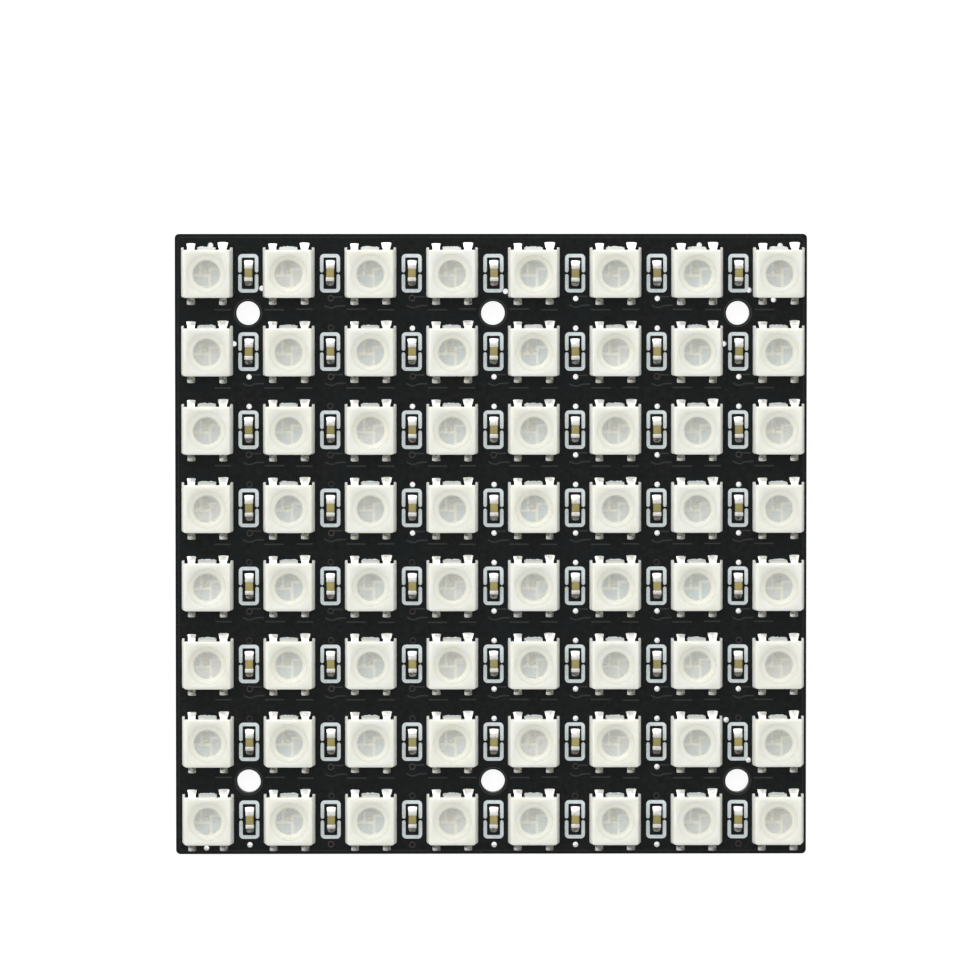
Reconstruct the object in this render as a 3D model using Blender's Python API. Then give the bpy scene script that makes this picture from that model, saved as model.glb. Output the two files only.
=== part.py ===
"""An 8 by 8 RGB LED matrix panel, modelled at its real size in metres.

A black circuit board lies flat with its LEDs facing up. Each LED package has a drafted
white housing with a conical reflector cup, and four leads that come out of its north and
south walls, bend down and are soldered to the board. A chip capacitor stands between each
two neighbours of a row, inside a printed bracket. The origin is at the centre of the
board's back face, +X runs along the rows to the right and +Y up the columns.
"""

import math

import bmesh
import bpy
from mathutils import Matrix

MM = 0.001

# The grid of LEDs
ROWS = 8
COLUMNS = 8
LED_PITCH_X = 7.88 * MM
LED_PITCH_Y = 7.55 * MM

# The circuit board, whose outline keeps these margins outside the outermost housings
BOARD_THICKNESS = 1.6 * MM
BOARD_CORNER_RADIUS = 0.5 * MM
BOARD_CORNER_STEPS = 3
MARGIN_LEFT = 0.61 * MM
MARGIN_RIGHT = 0.23 * MM
MARGIN_TOP = 1.37 * MM
MARGIN_BOTTOM = 0.78 * MM

# The mounting holes, each at the middle of a cell of four LEDs, and the whole cells outside them
MOUNTING_HOLE_DIAMETER = 2.3 * MM
MOUNTING_HOLE_SIDES = 20
CELLS_FROM_SIDE = 0
CELLS_FROM_END = 0
CELL_MIDDLE = 0.5

# The housing of an LED package
HOUSING_LENGTH = 5.0 * MM
HOUSING_WIDTH = 5.0 * MM
HOUSING_HEIGHT = 1.6 * MM
SIDE_DRAFT = 0.29 * MM
END_DRAFT = 0.21 * MM

# The reflector cup of an LED package
CUP_RIM_DIAMETER = 3.5 * MM
CUP_FLOOR_DIAMETER = 2.64 * MM
CUP_DEPTH = 0.88 * MM
CUP_SIDES = 14

# The leads of an LED package and the solder that holds them
LEAD_SPACING = 3.08 * MM
LEAD_WIDTH = 0.80 * MM
LEAD_HEIGHT = 0.72 * MM
LEAD_REACH = 0.20 * MM
LEAD_SOLDER_HEIGHT = 0.34 * MM
LEAD_SOLDER_REACH = 0.38 * MM

# The chip capacitors and the solder at their ends
CAPACITOR_LENGTH = 1.6 * MM
CAPACITOR_WIDTH = 0.8 * MM
CAPACITOR_HEIGHT = 0.8 * MM
TERMINATION_LENGTH = 0.4 * MM
CAPACITOR_SHIFT_X = 0.08 * MM
CAPACITOR_SHIFT_Y = 0.07 * MM
CAPACITOR_SOLDER_HEIGHT = 0.45 * MM
CAPACITOR_SOLDER_REACH = 0.5 * MM
SEAT_GAP = 0.03 * MM

# The printed marks: a bracket in two halves round each capacitor, a bar north of each package
BRACKET_LENGTH = 1.94 * MM
BRACKET_WIDTH = 3.72 * MM
BRACKET_LINE = 0.34 * MM
BRACKET_GAP = 0.15 * MM
BRACKET_SHIFT_X = 0.04 * MM
BRACKET_SHIFT_Y = 0.07 * MM
BAR_LENGTH = 1.76 * MM
BAR_WIDTH = 0.20 * MM
BAR_SHIFT_X = -0.05 * MM

# The hollow of a solder fillet: its lowest knee, as shares of the fillet's reach and height
HOLLOW_ALONG = 0.3
HOLLOW_UP = 0.38

# The wire pads on the back, in one group for the input and one for the output
WIRE_PADS = 3
WIRE_PAD_PITCH = 2.54 * MM
WIRE_PAD_WIDTH = 1.6 * MM
WIRE_PAD_LENGTH = 2.6 * MM
WIRE_PAD_EDGE = 1.0 * MM
MASK_RECESS = 0.05 * MM

# How far fused shapes run into each other, the leads deeper than the housings so that no two
# bottoms share a plane, and how far a cutter runs past a face
FUSE_DEPTH = 0.06 * MM
LEAD_FUSE_DEPTH = 0.12 * MM
CUTTER_OVERRUN = 0.2 * MM

# Points of an outline nearer than this are one, and faces that turn less than this are one face
WELD_DISTANCE = 0.001 * MM
FLAT_WITHIN_DEGREES = 0.1

# Edges that turn more than this stay sharp, and the facets of round faces blend
SHARP_DEGREES = 35

# The LED field, the board that carries it, and where the field lies on it
FIELD_LENGTH = (COLUMNS - 1) * LED_PITCH_X + HOUSING_LENGTH
FIELD_WIDTH = (ROWS - 1) * LED_PITCH_Y + HOUSING_WIDTH
BOARD_LENGTH = MARGIN_LEFT + FIELD_LENGTH + MARGIN_RIGHT
BOARD_WIDTH = MARGIN_BOTTOM + FIELD_WIDTH + MARGIN_TOP
FIELD_CENTRE_X = (MARGIN_LEFT - MARGIN_RIGHT) / 2
FIELD_CENTRE_Y = (MARGIN_BOTTOM - MARGIN_TOP) / 2


def clear_scene():
    """Removes what the startup scene holds."""
    for obj in list(bpy.data.objects):
        bpy.data.objects.remove(obj, do_unlink=True)


def new_material(name, colour, roughness, metallic=0.0):
    """A plain material of one colour."""
    material = bpy.data.materials.new(name)
    material.use_nodes = True
    shader = material.node_tree.nodes["Principled BSDF"]
    shader.inputs["Base Color"].default_value = (*colour, 1.0)
    shader.inputs["Roughness"].default_value = roughness
    shader.inputs["Metallic"].default_value = metallic
    return material


def add_object(name, mesh, collection):
    """An object of this mesh, linked to the collection."""
    obj = bpy.data.objects.new(name, mesh)
    collection.objects.link(obj)
    return obj


def mesh_from_bmesh(name, shape, materials):
    """A mesh that takes over the shape and wears the materials."""
    mesh = bpy.data.meshes.new(name)
    shape.to_mesh(mesh)
    shape.free()
    for material in materials:
        mesh.materials.append(material)
    return mesh


def shade_round(mesh):
    """Blends the facets of round faces and keeps the real edges sharp."""
    mesh.shade_smooth()
    mesh.set_sharp_from_angle(angle=math.radians(SHARP_DEGREES))


def extruded_outline(name, outline, thickness, material):
    """A mesh of a flat outline in XY, extruded along Z to both sides of 0."""
    curve = bpy.data.curves.new(name, "CURVE")
    curve.dimensions = "2D"
    curve.fill_mode = "BOTH"
    curve.extrude = thickness / 2
    spline = curve.splines.new("POLY")
    spline.points.add(len(outline) - 1)
    for point, (x, y) in zip(spline.points, outline):
        point.co = (x, y, 0.0, 1.0)
    spline.use_cyclic_u = True
    guide = add_object(name, curve, bpy.context.scene.collection)
    graph = bpy.context.evaluated_depsgraph_get()
    mesh = bpy.data.meshes.new_from_object(guide.evaluated_get(graph))
    bpy.data.objects.remove(guide, do_unlink=True)
    shape = bmesh.new()
    shape.from_mesh(mesh)
    bpy.data.meshes.remove(mesh)
    bmesh.ops.remove_doubles(shape, verts=shape.verts, dist=WELD_DISTANCE)
    bmesh.ops.dissolve_limit(
        shape,
        angle_limit=math.radians(FLAT_WITHIN_DEGREES),
        verts=shape.verts,
        edges=shape.edges,
    )
    bmesh.ops.recalc_face_normals(shape, faces=shape.faces)
    return mesh_from_bmesh(name, shape, [material])


def combine(target, mesh, operation, cutters):
    """Adds the mesh to the target, or cuts it out, and leaves the result as the target's own mesh."""
    tool = add_object(mesh.name, mesh, cutters)
    modifier = target.modifiers.new(operation.title(), "BOOLEAN")
    modifier.operation = operation
    modifier.solver = "EXACT"
    modifier.material_mode = "TRANSFER"
    modifier.object = tool
    graph = bpy.context.evaluated_depsgraph_get()
    result = bpy.data.meshes.new_from_object(target.evaluated_get(graph))
    target.modifiers.remove(modifier)
    old = target.data
    target.data = result
    bpy.data.meshes.remove(old)
    bpy.data.objects.remove(tool, do_unlink=True)
    bpy.data.meshes.remove(mesh)


def rounded_rectangle(length, width, radius, steps):
    """The outline of a rectangle about the origin with its corners rounded."""
    points = []
    for quarter, (side_x, side_y) in enumerate(((1, 1), (-1, 1), (-1, -1), (1, -1))):
        centre_x = side_x * (length / 2 - radius)
        centre_y = side_y * (width / 2 - radius)
        for step in range(steps + 1):
            turn = math.pi / 2 * (quarter + step / steps)
            points.append((centre_x + radius * math.cos(turn), centre_y + radius * math.sin(turn)))
    return points


def column_x(column):
    """Where a column lies, counted from 0 at the left; a half lies between two columns."""
    return FIELD_CENTRE_X + (column - (COLUMNS - 1) / 2) * LED_PITCH_X


def row_y(row):
    """Where a row lies, counted from 0 at the top; a half lies between two rows."""
    return FIELD_CENTRE_Y - (row - (ROWS - 1) / 2) * LED_PITCH_Y


def mounting_hole_centres():
    """The holes at both ends and in the middle of the upper and the lower row of cells."""
    first_column = CELLS_FROM_SIDE + CELL_MIDDLE
    last_column = COLUMNS - 1 - first_column
    middle_column = (first_column + last_column) / 2
    first_row = CELLS_FROM_END + CELL_MIDDLE
    last_row = ROWS - 1 - first_row
    columns = (first_column, middle_column, last_column)
    return [(column_x(column), row_y(row)) for row in (first_row, last_row) for column in columns]


def lead_mesh(material):
    """One lead with its solder, reaching out along +X from the housing's end wall, up along +Y."""
    root = HOUSING_WIDTH / 2 - END_DRAFT - FUSE_DEPTH
    face = HOUSING_WIDTH / 2 + LEAD_REACH
    foot = -LEAD_FUSE_DEPTH
    slope = LEAD_SOLDER_REACH / LEAD_SOLDER_HEIGHT
    outline = [
        (root, foot),
        (face + slope * (LEAD_SOLDER_HEIGHT - foot), foot),
        (face, LEAD_SOLDER_HEIGHT),
        (face, LEAD_HEIGHT),
        (root, LEAD_HEIGHT),
    ]
    return extruded_outline("lead", outline, LEAD_WIDTH, material)


def lead_placements():
    """Turns that stand the flat lead upright and carry it to its four places round the housing."""
    upright = Matrix.Rotation(math.pi / 2, 4, "X")
    for end_turn in (math.pi / 2, -math.pi / 2):
        for side in (-1, 1):
            place = Matrix.Translation((side * LEAD_SPACING / 2, 0.0, 0.0))
            yield place @ Matrix.Rotation(end_turn, 4, "Z") @ upright


def housing_mesh(material):
    """The drafted block of an LED package, sunk a little so that it fuses with the board."""
    shape = bmesh.new()
    height = HOUSING_HEIGHT + FUSE_DEPTH
    bmesh.ops.create_cube(shape, size=1.0)
    bmesh.ops.scale(shape, vec=(HOUSING_LENGTH, HOUSING_WIDTH, height), verts=shape.verts)
    bmesh.ops.translate(shape, vec=(0.0, 0.0, height / 2 - FUSE_DEPTH), verts=shape.verts)
    top = [vertex for vertex in shape.verts if vertex.co.z > 0]
    taper = (1 - 2 * SIDE_DRAFT / HOUSING_LENGTH, 1 - 2 * END_DRAFT / HOUSING_WIDTH, 1.0)
    bmesh.ops.scale(shape, vec=taper, verts=top)
    return mesh_from_bmesh("housing", shape, [material])


def cup_cutter(wall_material, floor_material):
    """The cone that cuts the reflector cup, wearing the colours of the cup's wall and floor."""
    slope = (CUP_RIM_DIAMETER - CUP_FLOOR_DIAMETER) / 2 / CUP_DEPTH
    depth = CUP_DEPTH + CUTTER_OVERRUN
    shape = bmesh.new()
    bmesh.ops.create_cone(
        shape,
        cap_ends=True,
        segments=CUP_SIDES,
        radius1=CUP_FLOOR_DIAMETER / 2,
        radius2=CUP_FLOOR_DIAMETER / 2 + slope * depth,
        depth=depth,
        matrix=Matrix.Translation((0.0, 0.0, HOUSING_HEIGHT - CUP_DEPTH + depth / 2)),
    )
    floor = min(shape.faces, key=lambda face: face.calc_center_median().z)
    floor.material_index = 1
    return mesh_from_bmesh("cup", shape, [wall_material, floor_material])


def led_package(materials, cutters):
    """One LED package as a single closed mesh, with its board face at Z = 0."""
    package = add_object("led_package", housing_mesh(materials["housing"]), cutters)
    cup = cup_cutter(materials["cup"], materials["leadframe"])
    combine(package, cup, "DIFFERENCE", cutters)
    for placement in lead_placements():
        lead = lead_mesh(materials["tin"])
        lead.transform(placement)
        combine(package, lead, "UNION", cutters)
    mesh = package.data
    bpy.data.objects.remove(package, do_unlink=True)
    return mesh


def led_field(package):
    """All LED packages at their places, as one mesh of separate bodies."""
    shape = bmesh.new()
    for row in range(ROWS):
        for column in range(COLUMNS):
            single = package.copy()
            place = (column_x(column), row_y(row), BOARD_THICKNESS)
            single.transform(Matrix.Translation(place))
            shape.from_mesh(single)
            bpy.data.meshes.remove(single)
    return mesh_from_bmesh("led_field", shape, package.materials)


def bare_board(material):
    """The laminate with its rounded corners."""
    outline = rounded_rectangle(BOARD_LENGTH, BOARD_WIDTH, BOARD_CORNER_RADIUS, BOARD_CORNER_STEPS)
    mesh = extruded_outline("board", outline, BOARD_THICKNESS, material)
    mesh.transform(Matrix.Translation((0.0, 0.0, BOARD_THICKNESS / 2)))
    return mesh


def mounting_hole_cutters(material):
    """Drills through the board at the mounting holes."""
    shape = bmesh.new()
    for x, y in mounting_hole_centres():
        bmesh.ops.create_cone(
            shape,
            cap_ends=True,
            segments=MOUNTING_HOLE_SIDES,
            radius1=MOUNTING_HOLE_DIAMETER / 2,
            radius2=MOUNTING_HOLE_DIAMETER / 2,
            depth=BOARD_THICKNESS + 2 * CUTTER_OVERRUN,
            matrix=Matrix.Translation((x, y, BOARD_THICKNESS / 2)),
        )
    return mesh_from_bmesh("mounting_holes", shape, [material])


def wire_pad_cutters(material):
    """Shallow windows in the back's solder mask, over the input pads and the output pads."""
    shape = bmesh.new()
    depth = MASK_RECESS + CUTTER_OVERRUN
    centre_y = BOARD_WIDTH / 2 - WIRE_PAD_EDGE - WIRE_PAD_LENGTH / 2
    for end in (-1, 1):
        for pad in range(WIRE_PADS):
            centre_x = (pad - (WIRE_PADS - 1) / 2) * WIRE_PAD_PITCH
            made = bmesh.ops.create_cube(shape, size=1.0)
            size = (WIRE_PAD_WIDTH, WIRE_PAD_LENGTH, depth)
            bmesh.ops.scale(shape, vec=size, verts=made["verts"])
            centre = (centre_x, end * centre_y, MASK_RECESS - depth / 2)
            bmesh.ops.translate(shape, vec=centre, verts=made["verts"])
    return mesh_from_bmesh("wire_pads", shape, [material])


def both_sides(reaches):
    """The reaches from a middle, each to both sides."""
    return [side * reach for reach in reaches for side in (-1, 1)]


def mark_edges_x():
    """Where the marks have edges along the rows."""
    edges = []
    for reach in both_sides((BRACKET_LENGTH / 2, BRACKET_LENGTH / 2 - BRACKET_LINE)):
        for column in range(COLUMNS - 1):
            edges.append(column_x(column + CELL_MIDDLE) + BRACKET_SHIFT_X + reach)
    for reach in both_sides((BAR_LENGTH / 2,)):
        for column in range(COLUMNS):
            edges.append(column_x(column) + BAR_SHIFT_X + reach)
    return edges


def mark_edges_y():
    """Where the marks have edges along the columns."""
    edges = []
    for reach in both_sides((BRACKET_WIDTH / 2, BRACKET_WIDTH / 2 - BRACKET_LINE, BRACKET_GAP / 2)):
        for row in range(ROWS):
            edges.append(row_y(row) + BRACKET_SHIFT_Y + reach)
    for row in range(ROWS):
        edges.append(row_y(row) + HOUSING_WIDTH / 2 + BAR_WIDTH)
    return edges


def in_bracket(x, y):
    """Whether a point lies on the bracket round the nearest capacitor."""
    column = min(range(COLUMNS - 1), key=lambda index: abs(column_x(index + CELL_MIDDLE) - x))
    row = min(range(ROWS), key=lambda index: abs(row_y(index) - y))
    across = abs(x - column_x(column + CELL_MIDDLE) - BRACKET_SHIFT_X)
    up = abs(y - row_y(row) - BRACKET_SHIFT_Y)
    outside = across > BRACKET_LENGTH / 2 or up > BRACKET_WIDTH / 2
    inside = across < BRACKET_LENGTH / 2 - BRACKET_LINE and up < BRACKET_WIDTH / 2 - BRACKET_LINE
    return not outside and not inside and up > BRACKET_GAP / 2


def in_bar(x, y):
    """Whether a point lies on the bar north of the nearest package."""
    column = min(range(COLUMNS), key=lambda index: abs(column_x(index) - x))
    row = min(range(ROWS), key=lambda index: abs(row_y(index) - y))
    across = abs(x - column_x(column) - BAR_SHIFT_X)
    beyond = y - row_y(row) - HOUSING_WIDTH / 2
    return across < BAR_LENGTH / 2 and 0 < beyond < BAR_WIDTH


def lies_on_mask(face):
    """Whether a face is part of the board's flat top."""
    return all(abs(vertex.co.z - BOARD_THICKNESS) < WELD_DISTANCE for vertex in face.verts)


def print_marks(mesh, ink):
    """Parts the mask's face along the edges of the marks and gives the fields inside them the ink."""
    mesh.materials.append(ink)
    ink_index = len(mesh.materials) - 1
    shape = bmesh.new()
    shape.from_mesh(mesh)
    flat = [face for face in shape.faces if lies_on_mask(face)]
    flat = bmesh.ops.triangulate(shape, faces=flat)["faces"]
    edges = {edge for face in flat for edge in face.edges}
    vertices = {vertex for face in flat for vertex in face.verts}
    piece = [*vertices, *edges, *flat]
    cuts = [((x, 0, 0), (1, 0, 0)) for x in mark_edges_x()]
    cuts += [((0, y, 0), (0, 1, 0)) for y in mark_edges_y()]
    for place, normal in cuts:
        piece = bmesh.ops.bisect_plane(shape, geom=piece, plane_co=place, plane_no=normal)["geom"]
    for face in piece:
        if isinstance(face, bmesh.types.BMFace):
            middle = face.calc_center_median()
            if in_bracket(middle.x, middle.y) or in_bar(middle.x, middle.y):
                face.material_index = ink_index
    shape.to_mesh(mesh)
    shape.free()


def circuit_board(materials, parts, cutters):
    """The board with its LED packages fused to it, its wire pads bared and its marks printed."""
    board = add_object("circuit_board", bare_board(materials["mask"]), parts)
    combine(board, mounting_hole_cutters(materials["mask"]), "DIFFERENCE", cutters)
    combine(board, wire_pad_cutters(materials["tin"]), "DIFFERENCE", cutters)
    package = led_package(materials, cutters)
    combine(board, led_field(package), "UNION", cutters)
    bpy.data.meshes.remove(package)
    print_marks(board.data, materials["ink"])
    shade_round(board.data)


def capacitor_mesh(materials):
    """A chip capacitor with the solder at both ends, its length along X and its seat at Z = 0."""
    end = CAPACITOR_LENGTH / 2
    inner = end - TERMINATION_LENGTH
    reach = CAPACITOR_SOLDER_REACH
    right_half = [
        (end + reach, 0.0),
        (end + HOLLOW_ALONG * reach, HOLLOW_UP * CAPACITOR_SOLDER_HEIGHT),
        (end, CAPACITOR_SOLDER_HEIGHT),
        (end, CAPACITOR_HEIGHT),
    ]
    left_half = [(-x, z) for x, z in reversed(right_half)]
    outline = right_half + left_half
    mesh = extruded_outline("capacitor", outline, CAPACITOR_WIDTH, materials["tin"])
    shape = bmesh.new()
    shape.from_mesh(mesh)
    bpy.data.meshes.remove(mesh)
    for side in (-1, 1):
        everything = shape.verts[:] + shape.edges[:] + shape.faces[:]
        bmesh.ops.bisect_plane(shape, geom=everything, plane_co=(side * inner, 0, 0), plane_no=(1, 0, 0))
    for face in shape.faces:
        face.material_index = int(abs(face.calc_center_median().x) < inner)
    bmesh.ops.rotate(shape, matrix=Matrix.Rotation(math.pi / 2, 3, "X"), verts=shape.verts)
    return mesh_from_bmesh("capacitor", shape, [materials["tin"], materials["ceramic"]])


def add_capacitors(materials, parts):
    """A capacitor between each two neighbours of a row, turned to lie along the columns."""
    mesh = capacitor_mesh(materials)
    seat = BOARD_THICKNESS + SEAT_GAP
    for row in range(ROWS):
        for column in range(COLUMNS - 1):
            name = f"capacitor_r{row + 1}_c{column + 1}"
            capacitor = add_object(name, mesh, parts)
            x = column_x(column + CELL_MIDDLE) + CAPACITOR_SHIFT_X
            y = row_y(row) + CAPACITOR_SHIFT_Y
            capacitor.location = (x, y, seat)
            capacitor.rotation_euler = (0.0, 0.0, math.pi / 2)


def main():
    clear_scene()
    parts = bpy.data.collections.new("rgb_led_matrix_panel")
    cutters = bpy.data.collections.new("cutters")
    for collection in (parts, cutters):
        bpy.context.scene.collection.children.link(collection)
    materials = {
        "mask": new_material("black_solder_mask", (0.012, 0.014, 0.014), 0.35),
        "housing": new_material("white_housing", (0.86, 0.86, 0.83), 0.4),
        "cup": new_material("cup_wall", (0.80, 0.79, 0.70), 0.35),
        "leadframe": new_material("silvered_leadframe", (0.62, 0.66, 0.66), 0.3, 0.8),
        "tin": new_material("tinned_metal", (0.75, 0.75, 0.72), 0.25, 1.0),
        "ceramic": new_material("tan_ceramic", (0.33, 0.26, 0.14), 0.5),
        "ink": new_material("pale_print", (0.70, 0.76, 0.78), 0.6),
    }
    circuit_board(materials, parts, cutters)
    add_capacitors(materials, parts)


main()
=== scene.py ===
"""Looks of an 8 by 8 RGB LED matrix panel: every visible surface, plain studio light and the camera.

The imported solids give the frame. Each class below makes one family of pieces on the circuit
board, in metres, with +X along the rows to the right, +Y up the columns and +Z out of the
LED face. Pieces that repeat are one master mesh, set out by Geometry Nodes.
"""

import logging
import math
import random
from collections.abc import Callable, Iterable, Sequence
from dataclasses import dataclass, field
from enum import Enum
from functools import cached_property

import bmesh
import bpy
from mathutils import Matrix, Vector


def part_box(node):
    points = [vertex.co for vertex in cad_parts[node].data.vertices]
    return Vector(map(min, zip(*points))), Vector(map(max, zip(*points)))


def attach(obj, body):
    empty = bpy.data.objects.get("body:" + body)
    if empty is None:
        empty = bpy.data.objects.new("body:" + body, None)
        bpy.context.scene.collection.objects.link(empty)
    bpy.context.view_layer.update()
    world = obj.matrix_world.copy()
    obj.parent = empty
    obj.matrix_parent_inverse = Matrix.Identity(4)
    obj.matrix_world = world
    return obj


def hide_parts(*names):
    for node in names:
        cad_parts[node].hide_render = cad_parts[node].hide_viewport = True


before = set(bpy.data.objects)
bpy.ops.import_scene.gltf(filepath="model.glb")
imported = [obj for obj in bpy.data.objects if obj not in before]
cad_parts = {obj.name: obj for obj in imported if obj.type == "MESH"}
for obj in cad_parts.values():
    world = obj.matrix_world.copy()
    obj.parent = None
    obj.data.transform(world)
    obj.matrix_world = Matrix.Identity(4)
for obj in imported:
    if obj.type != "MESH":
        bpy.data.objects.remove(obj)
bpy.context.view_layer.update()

MM = 0.001
BODY = "root"
BOARD_NODE = "circuit_board"
SMOOTH_ANGLE = math.radians(35)
WELD_DISTANCE = 0.0005 * MM
NOISE_GROUP = "noise_in_millimetres"
NOISE_RANGE = (0.3, 0.7)
WHITE = (1.0, 1.0, 1.0, 1.0)

# Places of node sockets whose names repeat

MIX_FACTOR = 0
MIX_NUMBERS = (2, 3)
MIX_NUMBER_RESULT = 0
MIX_COLOURS = (6, 7)
MIX_COLOUR_RESULT = 2
RANDOM_NUMBERS = (2, 3)
RANDOM_NUMBER_RESULT = 1

log = logging.getLogger("led_panel")

Colour = tuple[float, float, float]
Point2 = tuple[float, float]
Socket = bpy.types.NodeSocket


class End(Enum):
    """The two ends of an LED package or of a capacitor, as the sign of Y."""

    NORTH = 1
    SOUTH = -1


class Draw(Enum):
    """The random values that a copy draws, as what each adds to the seed."""

    DRIFT_X = 1
    DRIFT_Y = 2
    TURN = 3
    TONE = 4
    SIZE_X = 5
    SIZE_Y = 6
    SIZE_Z = 7


class Seed(Enum):
    """The random seed of each family of copies. The solder at the leads counts up from its own."""

    LED_BARS = 5
    OPEN_VIAS = 11
    CLOSED_VIAS = 12
    LEAD_TRACES = 21
    VIA_TRACES = 22
    BRACKETS = 31
    HOUSINGS = 41
    LEADS = 42
    LEADFRAMES = 44
    DIES = 45
    BOND_WIRES = 46
    RESIN = 47
    CAPACITORS = 51
    LEAD_SOLDER = 61


# Layout


def node_centre(name: str) -> Vector:
    """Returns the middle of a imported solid's box."""
    low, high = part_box(name)
    return (Vector(low) + Vector(high)) / 2


@dataclass(frozen=True)
class Layout:
    """Where the LEDs, the cells between them and the board lie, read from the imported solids."""

    columns: int = 8
    rows: int = 8
    capacitor_shift_x: float = 0.08 * MM
    capacitor_shift_y: float = 0.07 * MM
    board_top: float = 1.6 * MM

    @cached_property
    def pitch_x(self) -> float:
        """The distance between two columns."""
        return node_centre("capacitor_r1_c2").x - node_centre("capacitor_r1_c1").x

    @cached_property
    def pitch_y(self) -> float:
        """The distance between two rows."""
        return node_centre("capacitor_r1_c1").y - node_centre("capacitor_r2_c1").y

    @cached_property
    def middle_x(self) -> float:
        """The middle of the LED field along X.

        Returns:
            The place along X.
        """
        first = node_centre("capacitor_r1_c1").x
        last = node_centre(f"capacitor_r1_c{self.columns - 1}").x
        return (first + last) / 2 - self.capacitor_shift_x

    @cached_property
    def middle_y(self) -> float:
        """The middle of the LED field along Y.

        Returns:
            The place along Y.
        """
        first = node_centre("capacitor_r1_c1").y
        last = node_centre(f"capacitor_r{self.rows}_c1").y
        return (first + last) / 2 - self.capacitor_shift_y

    @cached_property
    def board_low(self) -> Vector:
        """The lowest corner of the board."""
        return Vector(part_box(BOARD_NODE)[0])

    @cached_property
    def board_high(self) -> Vector:
        """The highest corner of the board with its LEDs."""
        return Vector(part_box(BOARD_NODE)[1])

    def column_x(self, column: float) -> float:
        """Returns where a column lies, counted from 0 at the left."""
        return self.middle_x + (column - (self.columns - 1) / 2) * self.pitch_x

    def row_y(self, row: float) -> float:
        """Returns where a row lies, counted from 0 at the top."""
        return self.middle_y - (row - (self.rows - 1) / 2) * self.pitch_y

    def cells(self) -> list[tuple[int, int]]:
        """Returns the row and column above and left of each cell of four LEDs."""
        return [(row, column) for row in range(self.rows - 1) for column in range(self.columns - 1)]

    def hole_cells(self) -> list[tuple[int, int]]:
        """Lists the cells that hold a mounting hole.

        Returns:
            Their rows and columns.
        """
        last_row = self.rows - 2
        last_column = self.columns - 2
        return [(row, column) for row in (0, last_row) for column in (0, last_column // 2, last_column)]

    def cell_middle(self, row: int, column: int) -> Point2:
        """Returns the middle of a cell."""
        return (self.column_x(column + 0.5), self.row_y(row + 0.5))

    def capacitor_nodes(self) -> list[str]:
        """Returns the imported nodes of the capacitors."""
        places = [(row + 1, column + 1) for row in range(self.rows) for column in range(self.columns - 1)]
        return [f"capacitor_r{row}_c{column}" for row, column in places]


# Mesh helpers


def ring_points(radius: float, steps: int, z: float = 0.0, x: float = 0.0, y: float = 0.0) -> list[Vector]:
    """Makes the points of a horizontal circle.

    Args:
        radius: the circle's radius.
        steps: how many points it has.
        z: its height.
        x: its centre along X.
        y: its centre along Y.

    Returns:
        The points, counterclockwise.
    """
    turns = [2 * math.pi * step / steps for step in range(steps)]
    return [Vector((x + radius * math.cos(turn), y + radius * math.sin(turn), z)) for turn in turns]


def rounded_rectangle(
    length: float, width: float, radii: dict[End, float], steps: int, x: float = 0.0, y: float = 0.0
) -> list[Point2]:
    """Makes the outline of a rectangle with round corners.

    Args:
        length: its size along X.
        width: its size along Y.
        radii: the radius of the corners at either end.
        steps: how many chords each corner has.
        x: its centre along X.
        y: its centre along Y.

    Returns:
        The points, counterclockwise.
    """
    points = []
    corners = ((1, End.NORTH), (-1, End.NORTH), (-1, End.SOUTH), (1, End.SOUTH))
    for quarter, (side, end) in enumerate(corners):
        radius = radii[end]
        corner_x = x + side * (length / 2 - radius)
        corner_y = y + end.value * (width / 2 - radius)
        for step in range(steps + 1):
            turn = math.pi / 2 * (quarter + step / steps)
            points.append((corner_x + radius * math.cos(turn), corner_y + radius * math.sin(turn)))
    return points


def loft(shape: bmesh.types.BMesh, rings: Sequence[Sequence[Vector]], caps: bool = True) -> None:
    """Joins rings of equally many points into a wall, and closes its ends.

    Args:
        shape: the mesh that takes the faces.
        rings: the rings from the lowest to the highest, each counterclockwise from above.
        caps: whether both ends are closed.
    """
    made = [[shape.verts.new(point) for point in ring] for ring in rings]
    for low, high in zip(made, made[1:]):
        count = len(low)
        for step in range(count):
            after = (step + 1) % count
            shape.faces.new((low[step], low[after], high[after], high[step]))
    if caps:
        shape.faces.new(list(reversed(made[0])))
        shape.faces.new(made[-1])


def revolve(shape: bmesh.types.BMesh, profile: Sequence[Point2], steps: int) -> None:
    """Turns a profile about Z into a closed solid, with a pole at both ends.

    Args:
        shape: the mesh that takes the faces.
        profile: pairs of radius and height, from the lower pole to the upper one, poles left out.
        steps: how many points a turn has.
    """
    rings = [[shape.verts.new(point) for point in ring_points(radius, steps, z)] for radius, z in profile]
    low_pole = shape.verts.new((0.0, 0.0, profile[0][1]))
    high_pole = shape.verts.new((0.0, 0.0, profile[-1][1]))
    for low, high in zip(rings, rings[1:]):
        for step in range(steps):
            after = (step + 1) % steps
            shape.faces.new((low[step], low[after], high[after], high[step]))
    for step in range(steps):
        after = (step + 1) % steps
        shape.faces.new((low_pole, rings[0][after], rings[0][step]))
        shape.faces.new((high_pole, rings[-1][step], rings[-1][after]))


def prism(shape: bmesh.types.BMesh, outline: Sequence[Point2], low: float, high: float) -> None:
    """Adds an upright prism with a flat outline.

    Args:
        shape: the mesh that takes the faces.
        outline: its outline in XY, counterclockwise.
        low: the height of its bottom.
        high: the height of its top.
    """
    loft(shape, [[Vector((x, y, z)) for x, y in outline] for z in (low, high)])


def block(shape: bmesh.types.BMesh, low: Sequence[float], high: Sequence[float]) -> None:
    """Adds a box between two corners.

    Args:
        shape: the mesh that takes the faces.
        low: its lowest corner.
        high: its highest corner.
    """
    outline = [(low[0], low[1]), (high[0], low[1]), (high[0], high[1]), (low[0], high[1])]
    prism(shape, outline, low[2], high[2])


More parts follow.
